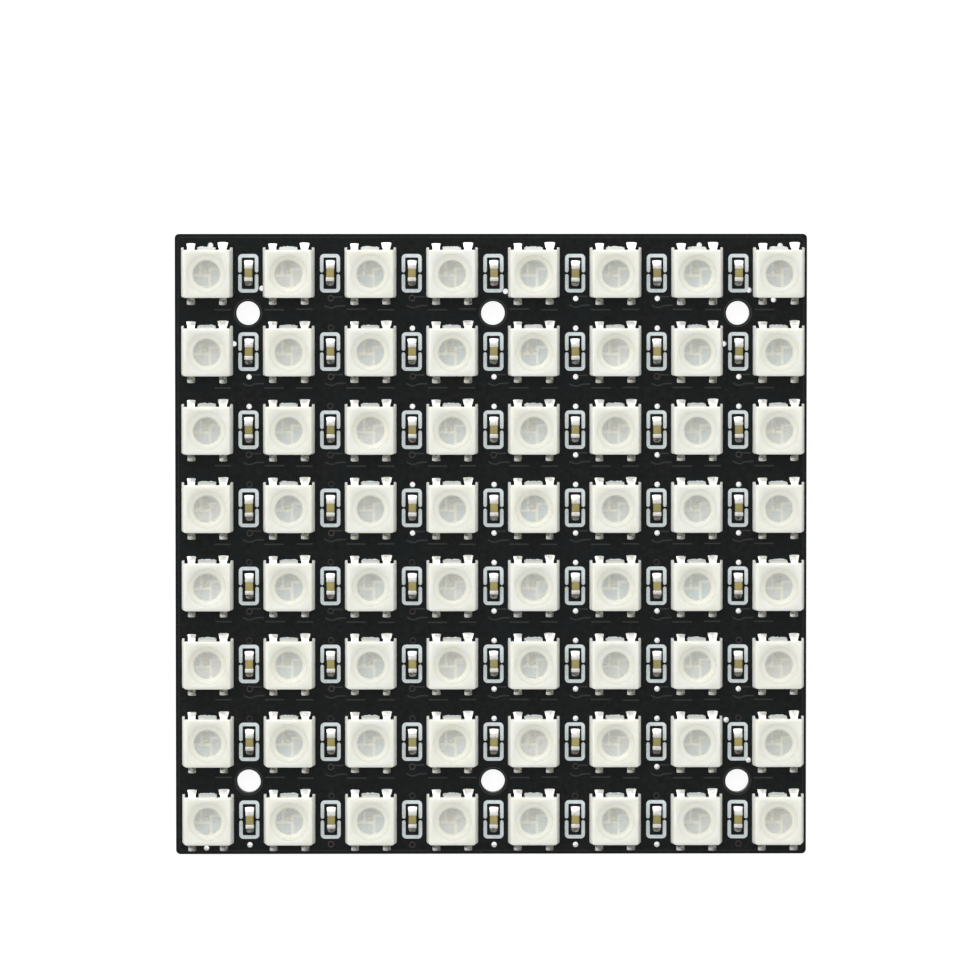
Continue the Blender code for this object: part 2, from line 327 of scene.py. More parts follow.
def ribbon(
    shape: bmesh.types.BMesh,
    path: Sequence[Point2],
    width: float,
    low: float,
    high: float,
    slope: float,
    closed: bool = False,
) -> None:
    """Adds a raised strip with sloping sides along a flat path.

    Args:
        shape: the mesh that takes the faces.
        path: its middle line.
        width: its width at the foot.
        low: the height of its foot.
        high: the height of its top.
        slope: how far each side leans in.
        closed: whether the path runs round to its start.
    """
    count = len(path)
    rows = []
    for step, (x, y) in enumerate(path):
        before = path[(step - 1) % count] if closed or step > 0 else path[step]
        after = path[(step + 1) % count] if closed or step < count - 1 else path[step]
        along = Vector((after[0] - before[0], after[1] - before[1])).normalized()
        side = Vector((-along.y, along.x))
        places = ((width / 2, low), (width / 2 - slope, high), (slope - width / 2, high), (-width / 2, low))
        rows.append([shape.verts.new((x + side.x * reach, y + side.y * reach, z)) for reach, z in places])
    pairs = list(zip(rows, rows[1:])) + ([(rows[-1], rows[0])] if closed else [])
    corners = len(rows[0])
    for start, end in pairs:
        for edge in range(corners):
            after = (edge + 1) % corners
            shape.faces.new((start[edge], start[after], end[after], end[edge]))
    if not closed:
        shape.faces.new(list(reversed(rows[0])))
        shape.faces.new(rows[-1])


@dataclass(frozen=True)
class Mound:
    """A run of solder from an upright face down to its toe, along +Y or -Y from its root."""

    root_width: float
    toe_width: float
    reach: float
    height: float
    lip: float = 0.03 * MM
    hollow: float = 1.5
    sag: float = 0.35
    toe_round: float = 0.12
    toe_power: int = 4
    across: int = 6
    along: int = 6

    def add(self, shape: bmesh.types.BMesh, end: End, y: float = 0.0, z: float = 0.0) -> None:
        """Adds the mound to a mesh.

        Args:
            shape: the mesh that takes the faces.
            end: the way that it runs.
            y: its root's place along Y.
            z: the height of its foot.
        """
        rows = []
        for step in range(self.along + 1):
            run = step / self.along
            half = (self.root_width + (self.toe_width - self.root_width) * run) / 2
            tall = (self.height - self.lip) * (1 - run) ** self.hollow
            row = []
            for place in range(self.across + 1):
                side = 2 * place / self.across - 1
                pulled = run * self.reach * (1 - self.toe_round * side**self.toe_power * run)
                arch = tall * (1 - self.sag * side * side)
                row.append(shape.verts.new((side * half, y + end.value * pulled, z + self.lip + arch)))
            rows.append(row)
        for low, high in zip(rows, rows[1:]):
            for place in range(self.across):
                shape.faces.new((low[place], low[place + 1], high[place + 1], high[place]))
        rim = rows[0] + [row[-1] for row in rows[1:-1]] + rows[-1][::-1] + [row[0] for row in rows[-2:0:-1]]
        foot = [shape.verts.new((vertex.co.x, vertex.co.y, z)) for vertex in rim]
        for place in range(len(rim)):
            after = (place + 1) % len(rim)
            shape.faces.new((rim[place], rim[after], foot[after], foot[place]))
        shape.faces.new(foot)


def new_object(name: str, mesh: bpy.types.Mesh) -> bpy.types.Object:
    """Links a new object to the scene.

    Args:
        name: the object's name.
        mesh: its mesh.

    Returns:
        The object.
    """
    made = bpy.data.objects.new(name, mesh)
    bpy.context.scene.collection.objects.link(made)
    return made


def to_object(name: str, shape: bmesh.types.BMesh) -> bpy.types.Object:
    """Makes an object of a mesh in work, with its faces turned outwards.

    Args:
        name: the object's name.
        shape: the mesh in work, which is freed.

    Returns:
        The new object.
    """
    bmesh.ops.remove_doubles(shape, verts=shape.verts, dist=WELD_DISTANCE)
    bmesh.ops.recalc_face_normals(shape, faces=shape.faces)
    mesh = bpy.data.meshes.new(name)
    shape.to_mesh(mesh)
    shape.free()
    return new_object(name, mesh)


def discard(made: bpy.types.Object) -> None:
    """Removes a helper object and its mesh.

    Args:
        made: the helper.
    """
    mesh = made.data
    bpy.data.objects.remove(made, do_unlink=True)
    bpy.data.meshes.remove(mesh)


def keep_result(made: bpy.types.Object) -> None:
    """Makes what an object's modifiers give its plain mesh.

    Args:
        made: the object, whose modifiers are removed.
    """
    graph = bpy.context.evaluated_depsgraph_get()
    result = bpy.data.meshes.new_from_object(made.evaluated_get(graph))
    made.modifiers.clear()
    old = made.data
    made.data = result
    name = old.name
    bpy.data.meshes.remove(old)
    result.name = name


def mark_points(made: bpy.types.Object, name: str, measure: Callable[[Vector], float]) -> None:
    """Gives an object's points an attribute worked out from their places.

    Args:
        made: the object.
        name: the attribute's name.
        measure: what gives a place its value.
    """
    marks = made.data.attributes.new(name, "FLOAT", "POINT")
    for vertex, mark in zip(made.data.vertices, marks.data):
        mark.value = measure(vertex.co)


def cut(made: bpy.types.Object, cutter: bpy.types.Object) -> None:
    """Cuts one object with another, which is removed.

    Args:
        made: the object that is cut.
        cutter: the closed shape that cuts it.
    """
    modifier = made.modifiers.new("Cut", "BOOLEAN")
    modifier.operation = "DIFFERENCE"
    modifier.solver = "EXACT"
    modifier.object = cutter
    keep_result(made)
    discard(cutter)


def soften(made: bpy.types.Object, width: float, segments: int) -> None:
    """Rounds an object's sharp edges.

    Args:
        made: the object.
        width: how wide the rounding is.
        segments: how many faces it has across.
    """
    modifier = made.modifiers.new("Soften", "BEVEL")
    modifier.width = width
    modifier.segments = segments
    modifier.limit_method = "ANGLE"
    modifier.angle_limit = SMOOTH_ANGLE
    keep_result(made)


def shade(made: bpy.types.Object) -> None:
    """Blends an object's round faces and keeps its real edges sharp."""
    made.data.shade_smooth()
    made.data.set_sharp_from_angle(angle=SMOOTH_ANGLE)


# Geometry Nodes that set out copies


@dataclass
class CopyTree:
    """A Geometry Nodes tree that sets copies of a master on points, each with a tone of its own.

    The points are a grid worked out from named sizes, or the vertices of the object that
    carries the tree.
    """

    name: str
    from_grid: bool
    sizes: tuple[str, ...] = ("Pitch X", "Pitch Y", "Middle X", "Middle Y", "Seat", "Drift", "Turn", "Spread")
    counts: tuple[str, ...] = ("Columns", "Rows", "Seed")
    tree: bpy.types.GeometryNodeTree = field(init=False)
    inputs: dict[str, str] = field(init=False, default_factory=dict)
    start: bpy.types.Node = field(init=False)

    def __post_init__(self) -> None:
        """Builds the tree."""
        self.tree = bpy.data.node_groups.new(self.name, "GeometryNodeTree")
        self.tree.interface.new_socket("Geometry", in_out="INPUT", socket_type="NodeSocketGeometry")
        for label in self.sizes:
            self.add_input(label, "NodeSocketFloat")
        for label in self.counts:
            self.add_input(label, "NodeSocketInt")
        self.add_input("Master", "NodeSocketObject")
        self.add_input("Finish", "NodeSocketMaterial")
        self.tree.interface.new_socket("Geometry", in_out="OUTPUT", socket_type="NodeSocketGeometry")
        self.start = self.tree.nodes.new("NodeGroupInput")
        self.wire()

    def add_input(self, label: str, kind: str) -> None:
        """Adds a named input and notes its identifier."""
        socket = self.tree.interface.new_socket(label, in_out="INPUT", socket_type=kind)
        self.inputs[label] = socket.identifier

    def link(self, source: Socket, target: Socket) -> None:
        """Links two sockets."""
        self.tree.links.new(source, target)

    def maths(self, operation: str, first: Socket, second: Socket | float) -> Socket:
        """Adds a sum of two values.

        Args:
            operation: the kind of sum.
            first: the first value.
            second: the second value, a socket or a number.

        Returns:
            The socket with the result.
        """
        node = self.tree.nodes.new("ShaderNodeMath")
        node.operation = operation
        self.link(first, node.inputs[0])
        if isinstance(second, (int, float)):
            node.inputs[1].default_value = second
        else:
            self.link(second, node.inputs[1])
        return node.outputs[0]

    def vector(self, x: Socket | None, y: Socket | None, z: Socket | None) -> Socket:
        """Adds a vector made of up to three values.

        Args:
            x: the value along X.
            y: the value along Y.
            z: the value along Z.

        Returns:
            The socket with the vector.
        """
        node = self.tree.nodes.new("ShaderNodeCombineXYZ")
        for socket, value in zip(node.inputs, (x, y, z)):
            if value is not None:
                self.link(value, socket)
        return node.outputs[0]

    def chance(self, low: Socket | float, high: Socket | float, draw: Draw) -> Socket:
        """Adds a random value of its own for each point.

        Args:
            low: the least value.
            high: the greatest value.
            draw: which of a point's random values it is.

        Returns:
            The socket with the value.
        """
        node = self.tree.nodes.new("FunctionNodeRandomValue")
        node.data_type = "FLOAT"
        for place, value in zip(RANDOM_NUMBERS, (low, high)):
            if isinstance(value, (int, float)):
                node.inputs[place].default_value = value
            else:
                self.link(value, node.inputs[place])
        seed = self.maths("ADD", self.start.outputs["Seed"], draw.value)
        self.link(seed, node.inputs["Seed"])
        return node.outputs[RANDOM_NUMBER_RESULT]

    def either_way(self, limit: Socket, draw: Draw) -> Socket:
        """Adds a random value for each point, from minus a limit to the limit.

        Args:
            limit: the limit.
            draw: which of a point's random values it is.

        Returns:
            The socket with the value.
        """
        return self.chance(self.maths("MULTIPLY", limit, -1.0), limit, draw)

    def grid_points(self) -> Socket:
        """Adds the grid of points.

        Returns:
            The socket with the points.
        """
        given = self.start.outputs
        grid = self.tree.nodes.new("GeometryNodeMeshGrid")
        for count, axis in (("Columns", "X"), ("Rows", "Y")):
            steps = self.maths("SUBTRACT", given[count], 1.0)
            self.link(self.maths("MULTIPLY", steps, given[f"Pitch {axis}"]), grid.inputs[f"Size {axis}"])
            self.link(given[count], grid.inputs[f"Vertices {axis}"])
        return grid.outputs["Mesh"]

    def placed_points(self) -> Socket:
        """Moves the points to the panel and lets each drift a little.

        Returns:
            The socket with the points.
        """
        given = self.start.outputs
        points = self.grid_points() if self.from_grid else given["Geometry"]
        move = self.tree.nodes.new("GeometryNodeTransform")
        self.link(points, move.inputs["Geometry"])
        middle = self.vector(given["Middle X"], given["Middle Y"], given["Seat"])
        self.link(middle, move.inputs["Translation"])
        drift = self.tree.nodes.new("GeometryNodeSetPosition")
        self.link(move.outputs["Geometry"], drift.inputs["Geometry"])
        shifts = [self.either_way(given["Drift"], draw) for draw in (Draw.DRIFT_X, Draw.DRIFT_Y)]
        self.link(self.vector(*shifts, None), drift.inputs["Offset"])
        return drift.outputs["Geometry"]

    def wire(self) -> None:
        """Links points, copies, tones, realised copies and finish in turn."""
        given = self.start.outputs
        copies = self.tree.nodes.new("GeometryNodeInstanceOnPoints")
        self.link(self.placed_points(), copies.inputs["Points"])
        master = self.tree.nodes.new("GeometryNodeObjectInfo")
        self.link(given["Master"], master.inputs["Object"])
        self.link(master.outputs["Geometry"], copies.inputs["Instance"])
        turn = self.tree.nodes.new("FunctionNodeEulerToRotation")
        self.link(self.vector(None, None, self.either_way(given["Turn"], Draw.TURN)), turn.inputs["Euler"])
        self.link(turn.outputs["Rotation"], copies.inputs["Rotation"])
        least = self.maths("SUBTRACT", self.maths("MULTIPLY", given["Spread"], -1.0), -1.0)
        most = self.maths("ADD", given["Spread"], 1.0)
        sizes = [self.chance(least, most, draw) for draw in (Draw.SIZE_X, Draw.SIZE_Y, Draw.SIZE_Z)]
        self.link(self.vector(*sizes), copies.inputs["Scale"])
        tone = self.tree.nodes.new("GeometryNodeStoreNamedAttribute")
        tone.data_type = "FLOAT"
        tone.domain = "INSTANCE"
        tone.inputs["Name"].default_value = "tone"
        self.link(copies.outputs["Instances"], tone.inputs["Geometry"])
        self.link(self.chance(0.0, 1.0, Draw.TONE), tone.inputs["Value"])
        realised = self.tree.nodes.new("GeometryNodeRealizeInstances")
        self.link(tone.outputs["Geometry"], realised.inputs["Geometry"])
        finish = self.tree.nodes.new("GeometryNodeSetMaterial")
        self.link(realised.outputs["Geometry"], finish.inputs["Geometry"])
        self.link(given["Finish"], finish.inputs["Material"])
        end = self.tree.nodes.new("NodeGroupOutput")
        self.link(finish.outputs["Geometry"], end.inputs["Geometry"])


@dataclass
class Copies:
    """Sets out copies of masters on the panel with the two copy trees."""

    layout: Layout
    grid: CopyTree = field(default_factory=lambda: CopyTree("copies_on_grid", True))
    sites: CopyTree = field(default_factory=lambda: CopyTree("copies_on_sites", False))

    def make(
        self,
        name: str,
        master: bpy.types.Object,
        finish: bpy.types.Material,
        tree: CopyTree,
        carrier: bpy.types.Mesh,
        values: dict[str, float],
    ) -> bpy.types.Object:
        """Runs a copy tree once and keeps its result as a plain mesh.

        Args:
            name: the new piece's name.
            master: the shape that is copied, which is removed.
            finish: the copies' material.
            tree: the tree that sets them out.
            carrier: the mesh that the tree sits on.
            values: the tree's inputs by name.

        Returns:
            The new piece.
        """
        piece = new_object(name, carrier)
        modifier = piece.modifiers.new("Copies", "NODES")
        modifier.node_group = tree.tree
        given = {"Master": master, "Finish": finish, **values}
        for label, identifier in tree.inputs.items():
            if label in given:
                modifier[identifier] = given[label]
        keep_result(piece)
        discard(master)
        shade(piece)
        return piece

    def on_grid(
        self,
        name: str,
        master: bpy.types.Object,
        finish: bpy.types.Material,
        seed: int,
        offset: Point2 = (0.0, 0.0),
        spread: float = 0.0,
    ) -> bpy.types.Object:
        """Sets a copy on each LED's place.

        Args:
            name: the new piece's name.
            master: the shape that is copied.
            finish: the copies' material.
            seed: the seed of their tones.
            offset: where a copy stands from its LED's middle.
            spread: how far a copy's sizes may be off, as a share.

        Returns:
            The new piece.
        """
        layout = self.layout
        values = {
            "Pitch X": layout.pitch_x,
            "Pitch Y": layout.pitch_y,
            "Middle X": layout.middle_x + offset[0],
            "Middle Y": layout.middle_y + offset[1],
            "Seat": layout.board_top,
            "Columns": layout.columns,
            "Rows": layout.rows,
            "Seed": seed,
            "Spread": spread,
        }
        return self.make(name, master, finish, self.grid, bpy.data.meshes.new(name), values)

    def on_sites(
        self,
        name: str,
        master: bpy.types.Object,
        finish: bpy.types.Material,
        places: Iterable[Point2],
        seed: int,
        drift: float = 0.0,
        turn: float = 0.0,
    ) -> bpy.types.Object:
        """Sets a copy on each given place of the board's top.

        Args:
            name: the new piece's name.
            master: the shape that is copied.
            finish: the copies' material.
            places: where the copies go.
            seed: the seed of their tones.
            drift: how far a copy may stand off its place.
            turn: how far a copy may be turned, in radians.

        Returns:
            The new piece.
        """
        carrier = bpy.data.meshes.new(name)
        carrier.from_pydata([(x, y, 0.0) for x, y in places], [], [])
        values = {"Seat": self.layout.board_top, "Seed": seed, "Drift": drift, "Turn": turn, "Spread": 0.0}
        return self.make(name, master, finish, self.sites, carrier, values)


# Finishes


@dataclass(frozen=True)
class Grain:
    """Noise of a real size: its waves in a millimetre, finer layers, and least and greatest value."""

    per_mm: float
    detail: float
    low: float = 0.0
    high: float = 1.0


def noise_group() -> bpy.types.ShaderNodeTree:
    """Builds the group that gives noise of a real size between two values, or finds it.

    Returns:
        The group.
    """
    if NOISE_GROUP in bpy.data.node_groups:
        return bpy.data.node_groups[NOISE_GROUP]
    tree = bpy.data.node_groups.new(NOISE_GROUP, "ShaderNodeTree")
    for label, value in (("Per Millimetre", 1.0), ("Detail", 2.0), ("Low", 0.0), ("High", 1.0)):
        socket = tree.interface.new_socket(label, in_out="INPUT", socket_type="NodeSocketFloat")
        socket.default_value = value
    tree.interface.new_socket("Value", in_out="OUTPUT", socket_type="NodeSocketFloat")
    start = tree.nodes.new("NodeGroupInput")
    place = tree.nodes.new("ShaderNodeTexCoord")
    scale = tree.nodes.new("ShaderNodeVectorMath")
    scale.operation = "SCALE"
    scale.inputs["Scale"].default_value = 1 / MM
    noise = tree.nodes.new("ShaderNodeTexNoise")
    remap = tree.nodes.new("ShaderNodeMapRange")
    remap.inputs["From Min"].default_value, remap.inputs["From Max"].default_value = NOISE_RANGE
    end = tree.nodes.new("NodeGroupOutput")
    tree.links.new(place.outputs["Object"], scale.inputs[0])
    tree.links.new(scale.outputs[0], noise.inputs["Vector"])
    tree.links.new(start.outputs["Per Millimetre"], noise.inputs["Scale"])
    tree.links.new(start.outputs["Detail"], noise.inputs["Detail"])
    tree.links.new(noise.outputs["Fac"], remap.inputs["Value"])
    tree.links.new(start.outputs["Low"], remap.inputs["To Min"])
    tree.links.new(start.outputs["High"], remap.inputs["To Max"])
    tree.links.new(remap.outputs["Result"], end.inputs["Value"])
    return tree


@dataclass
class Surface:
    """A material in work: one Principled shader and what feeds it."""

    name: str
    roughness: float
    metallic: float
    specular: float
    material: bpy.types.Material = field(init=False)
    tree: bpy.types.NodeTree = field(init=False)
    shader: bpy.types.Node = field(init=False)

    def __post_init__(self) -> None:
        """Makes the material with its plain values."""
        self.material = bpy.data.materials.new(self.name)
        self.material.use_nodes = True
        self.tree = self.material.node_tree
        self.shader = self.tree.nodes["Principled BSDF"]
        self.shader.inputs["Roughness"].default_value = self.roughness
        self.shader.inputs["Metallic"].default_value = self.metallic
        self.shader.inputs["Specular IOR Level"].default_value = self.specular

    def link(self, source: Socket, target: Socket) -> None:
        """Links two sockets."""
        self.tree.links.new(source, target)

    def noise(self, grain: Grain) -> Socket:
        """Adds noise of a real size.

        Args:
            grain: the noise's waves, layers and range.

        Returns:
            The socket with the value.
        """
        node = self.tree.nodes.new("ShaderNodeGroup")
        node.node_tree = noise_group()
        node.inputs["Per Millimetre"].default_value = grain.per_mm
        node.inputs["Detail"].default_value = grain.detail
        node.inputs["Low"].default_value = grain.low
        node.inputs["High"].default_value = grain.high
        return node.outputs["Value"]

    def attribute(self, name: str) -> Socket:
        """Adds an attribute of the mesh.

        Args:
            name: the attribute's name.

        Returns:
            The socket with its value.
        """
        node = self.tree.nodes.new("ShaderNodeAttribute")
        node.attribute_name = name
        return node.outputs["Fac"]

    def blend(self, factor: Socket, first: Colour | Socket, second: Colour | Socket) -> Socket:
        """Adds a blend of two colours.

        Args:
            factor: how much of the second colour shows.
            first: the first colour, or a socket that gives it.
            second: the second colour, or a socket that gives it.

        Returns:
            The socket with the colour.
        """
        node = self.tree.nodes.new("ShaderNodeMix")
        node.data_type = "RGBA"
        self.link(factor, node.inputs[MIX_FACTOR])
        for place, colour in zip(MIX_COLOURS, (first, second)):
            if isinstance(colour, tuple):
                node.inputs[place].default_value = (*colour, 1.0)
            else:
                self.link(colour, node.inputs[place])
        return node.outputs[MIX_COLOUR_RESULT]

    def remap(self, source: Socket, low: float, high: float) -> Socket:
        """Spreads a value from 0 to 1 between two others.

        Args:
            source: the socket with the value.
            low: what 0 becomes.
            high: what 1 becomes.

        Returns:
            The socket with the result.
        """
        node = self.tree.nodes.new("ShaderNodeMapRange")
        node.inputs["To Min"].default_value = low
        node.inputs["To Max"].default_value = high
        self.link(source, node.inputs["Value"])
        return node.outputs["Result"]

    def times(self, first: Socket, second: Socket) -> Socket:
        """Adds the product of two values.

        Args:
            first: the first value.
            second: the second value.

        Returns:
            The socket with the product.
        """
        node = self.tree.nodes.new("ShaderNodeMath")
        node.operation = "MULTIPLY"
        self.link(first, node.inputs[0])
        self.link(second, node.inputs[1])
        return node.outputs[0]

    def colour(self, source: Socket) -> None:
        """Feeds the base colour."""
        self.link(source, self.shader.inputs["Base Color"])

    def alpha(self, source: Socket) -> None:
        """Feeds how solid the surface is."""
        self.link(source, self.shader.inputs["Alpha"])

    def rough(self, sheen: Grain) -> None:
        """Varies the roughness over patches of a real size."""
        self.link(self.noise(sheen), self.shader.inputs["Roughness"])

    def bump(self, relief: Grain, height: float) -> None:
        """Raises the surface by noise.

        Args:
            relief: the noise.
            height: the height that 1 stands for.
        """
        node = self.tree.nodes.new("ShaderNodeBump")
        node.inputs["Distance"].default_value = height
        self.link(self.noise(relief), node.inputs["Height"])
        self.link(node.outputs["Normal"], self.shader.inputs["Normal"])

    def glow_through(self, share: float, depth: Colour) -> None:
        """Lets light spread inside the material.

        Args:
            share: how much of the light does so.
            depth: how deep red, green and blue go.
        """
        self.shader.inputs["Subsurface Weight"].default_value = share
        self.shader.inputs["Subsurface Scale"].default_value = 1.0
        self.shader.inputs["Subsurface Radius"].default_value = depth


@dataclass(frozen=True)
class Finish:
    """What all finishes share: a shader's plain values, a varying sheen and a fine relief."""

    name: str
    roughness: float = 0.5
    metallic: float = 0.0
    specular: float = 0.5
    sheen: Grain | None = None
    relief: Grain | None = None
    relief_height: float = 0.0

    def paint(self, surface: Surface) -> None:
        """Feeds a material the finish's own colours."""
        raise NotImplementedError

    def make(self) -> bpy.types.Material:
        """Makes the material.

        Returns:
            The material.
        """
        surface = Surface(self.name, self.roughness, self.metallic, self.specular)
        self.paint(surface)
        if self.sheen:
            surface.rough(self.sheen)
        if self.relief:
            surface.bump(self.relief, self.relief_height)
        return surface.material


@dataclass(frozen=True)
class MaskFinish(Finish):
    """Black solder mask: glossy, faintly clouded, with a fine pull over the copper."""

    name: str = "solder_mask"
    roughness: float = 0.34
    specular: float = 0.165
    sheen: Grain = Grain(0.9, 2.0, 0.26, 0.40)
    relief: Grain = Grain(3.2, 3.0)
    relief_height: float = 0.008 * MM
    dark: Colour = (0.0008, 0.0014, 0.0010)
    light: Colour = (0.0094, 0.0102, 0.0094)
    clouds: Grain = Grain(1.9, 6.0)
    tint: Colour = (0.0026, 0.0068, 0.0082)
    tinted: Grain = Grain(0.3, 3.0, 0.0, 0.6)

    def paint(self, surface: Surface) -> None:
        """Clouds the black and tints it in wide patches."""
        clouded = surface.blend(surface.noise(self.clouds), self.dark, self.light)
        surface.colour(surface.blend(surface.noise(self.tinted), clouded, self.tint))


@dataclass(frozen=True)
class CopperMaskFinish(Finish):
    """Solder mask where it runs over raised copper, thinner and a little paler: the paleness is partly the
    mask's own and partly painted highlight of the ridges' slopes.
    """

    name: str = "mask_over_copper"
    roughness: float = 0.3
    relief: Grain = Grain(4.0, 2.0)
    relief_height: float = 0.006 * MM
    plain: Colour = (0.0080, 0.0090, 0.0086)
    # Painted highlight: the paler lines stand in for light caught on the ridges' slopes.
    pale_highlight: Colour = (0.0115, 0.0125, 0.012)
    worn: Colour = (0.0040, 0.0048, 0.0046)
    wear: Grain = Grain(0.9, 3.0)

    def paint(self, surface: Surface) -> None:
        """Gives each line its own tone, the paler ones with painted highlight, and wears it in patches."""
        toned = surface.blend(surface.attribute("tone"), self.plain, self.pale_highlight)
        surface.colour(surface.blend(surface.noise(self.wear), toned, self.worn))


@dataclass(frozen=True)
class SilkFinish(Finish):
    """White legend ink with a cool tint, slightly grainy."""

    name: str = "legend_ink"
    roughness: float = 0.6
    specular: float = 0.3
    relief: Grain = Grain(9.0, 2.0)
    relief_height: float = 0.004 * MM
    light: Colour = (0.72, 0.785, 0.80)
    dark: Colour = (0.60, 0.665, 0.685)
    cover: Grain = Grain(4.5, 4.0)

    def paint(self, surface: Surface) -> None:
        """Varies how well the ink covers."""
        surface.colour(surface.blend(surface.noise(self.cover), self.light, self.dark))


@dataclass(frozen=True)
class HousingFinish(Finish):
    """Warm white moulded plastic, creamier and brighter in the cup, where the extra brightness is painted
    light that offsets the cup's shade.
    """

    name: str = "white_moulding"
    roughness: float = 0.42
    specular: float = 0.35
    sheen: Grain = Grain(2.0, 2.0, 0.36, 0.5)
    relief: Grain = Grain(14.0, 3.0)
    relief_height: float = 0.003 * MM
    face: Colour = (0.835, 0.84, 0.765)
    cool: Colour = (0.82, 0.83, 0.79)
    shadow: Colour = (0.79, 0.795, 0.715)
    clouds: Grain = Grain(0.8, 4.0)
    # Creamier and brighter than the face: the cream is the plastic's own, the extra brightness is painted
    # light against the cup's shade.
    cup: Colour = (0.94, 0.935, 0.82)
    bleed: float = 0.6
    bleed_depth: Colour = (0.6 * MM, 0.55 * MM, 0.4 * MM)

    def paint(self, surface: Surface) -> None:
        """Gives each housing its own tone, clouds it, brightens its cup with painted light and lets light
        into it.

        Args:
            surface: the material in work.
        """
        toned = surface.blend(surface.attribute("tone"), self.face, self.cool)
        clouded = surface.blend(surface.noise(self.clouds), toned, self.shadow)
        surface.colour(surface.blend(surface.attribute("cup"), clouded, self.cup))
        surface.glow_through(self.bleed, self.bleed_depth)


@dataclass(frozen=True)
class SolderFinish(Finish):
    """Bright reflowed solder on tinned leads, with shallow wrinkles, painted shade on the southern solder and
    an even dulling on the chips' ends.
    """

    name: str = "reflowed_solder"
    roughness: float = 0.3
    metallic: float = 0.5
    sheen: Grain = Grain(4.0, 2.0, 0.24, 0.42)
    relief: Grain = Grain(3.0, 2.0)
    relief_height: float = 0.012 * MM
    light: Colour = (0.94, 0.94, 0.92)
    dark: Colour = (0.80, 0.79, 0.75)
    clouds: Grain = Grain(2.6, 4.0, 0.0, 0.9)
    # Dark yellowish colour of painted shade on the southern leads and solder, which the packages shade from
    # the lamp; on the chips' ends it also dulls them evenly.
    stain: Colour = (0.105, 0.10, 0.07)
    mottle: Grain = Grain(3.4, 3.0, 0.55, 1.2)

    def paint(self, surface: Surface) -> None:
        """Clouds the metal and blends in painted shade, and on the chips' ends a dulling, where the mesh says
        so.

        Args:
            surface: the material in work.
        """
        clean = surface.blend(surface.noise(self.clouds), self.light, self.dark)
        # Painted shade: the mesh's attribute darkens the southern solder and leads as if in shadow.
        shade_and_dulling_share = surface.times(surface.attribute("stain"), surface.noise(self.mottle))
        surface.colour(surface.blend(shade_and_dulling_share, clean, self.stain))


@dataclass(frozen=True)
class LeadframeFinish(Finish):
    """Silvered pads, matt with age, some with a painted bluish reflection."""

    name: str = "silvered_leadframe"
    roughness: float = 0.45
    metallic: float = 0.2
    sheen: Grain = Grain(3.0, 2.0, 0.35, 0.6)
    relief: Grain = Grain(8.0, 3.0)
    relief_height: float = 0.004 * MM
    silver: Colour = (0.72, 0.73, 0.73)
    # Painted reflection: a bluish tint given to some leadframes at random.
    blue: Colour = (0.60, 0.70, 0.74)
    dull: Colour = (0.57, 0.58, 0.58)
    tarnish: Grain = Grain(1.6, 4.0, 0.0, 0.55)

    def paint(self, surface: Surface) -> None:
        """Gives each leadframe its share of the painted bluish reflection and dulls it in patches."""
        tinted = surface.blend(surface.attribute("tone"), self.silver, self.blue)
        surface.colour(surface.blend(surface.noise(self.tarnish), tinted, self.dull))


@dataclass(frozen=True)
class ResinFinish(Finish):
    """Clear filling of the cup, hazier in some cups than in others; its haze is partly the resin's own and
    partly painted light, a lit skin that hides the shade of the cup's wall and rim.
    """

    name: str = "hazy_resin"
    roughness: float = 0.12
    relief: Grain = Grain(1.4, 2.0)
    relief_height: float = 0.01 * MM
    clear: Colour = (0.865, 0.875, 0.80)
    warm: Colour = (0.845, 0.84, 0.74)
    clouds: Grain = Grain(0.7, 3.0)
    # Painted light: over the rim the skin takes the housing's lit face colour, which hides the rim's shade.
    rim: Colour = (0.83, 0.835, 0.77)
    least_haze: float = 0.50
    most_haze: float = 0.84

    def paint(self, surface: Surface) -> None:
        """Colours the haze, paints the lit face colour over the rim, and shows it only as far as the mesh
        says.

        Args:
            surface: the material in work.
        """
        body = surface.blend(surface.noise(self.clouds), self.clear, self.warm)
        surface.colour(surface.blend(surface.attribute("rim"), body, self.rim))
        haze = surface.remap(surface.attribute("tone"), self.least_haze, self.most_haze)
        surface.alpha(surface.times(haze, surface.attribute("skin")))


@dataclass(frozen=True)
class CopperFinish(Finish):
    """Plated copper of a via's rim, browned under thin mask."""

    name: str = "browned_copper"
    roughness: float = 0.3
    metallic: float = 0.2
    sheen: Grain = Grain(6.0, 2.0, 0.25, 0.5)
    relief: Grain = Grain(9.0, 2.0)
    relief_height: float = 0.006 * MM
    bright: Colour = (0.066, 0.046, 0.034)
    brown: Colour = (0.022, 0.016, 0.012)
    browning: Grain = Grain(3.0, 3.0, 0.0, 0.8)

    def paint(self, surface: Surface) -> None:
        """Gives each rim its own tone and browns it in patches."""
        toned = surface.blend(surface.attribute("tone"), self.bright, self.brown)
        surface.colour(surface.blend(surface.noise(self.browning), toned, self.brown))


@dataclass(frozen=True)
class CeramicFinish(Finish):
    """Tan ceramic of the chips, from olive to brown, finely speckled."""

    name: str = "chip_ceramic"
    specular: float = 0.4
    sheen: Grain = Grain(5.0, 2.0, 0.4, 0.6)
    relief: Grain = Grain(12.0, 3.0)
    relief_height: float = 0.006 * MM
    tan: Colour = (0.43, 0.36, 0.13)
    olive: Colour = (0.30, 0.27, 0.10)
    speck: Colour = (0.25, 0.20, 0.08)
    speckle: Grain = Grain(7.0, 4.0, 0.0, 0.6)

    def paint(self, surface: Surface) -> None:
        """Gives each chip its own tone and speckles it."""
        body = surface.blend(surface.attribute("tone"), self.tan, self.olive)
        surface.colour(surface.blend(surface.noise(self.speckle), body, self.speck))


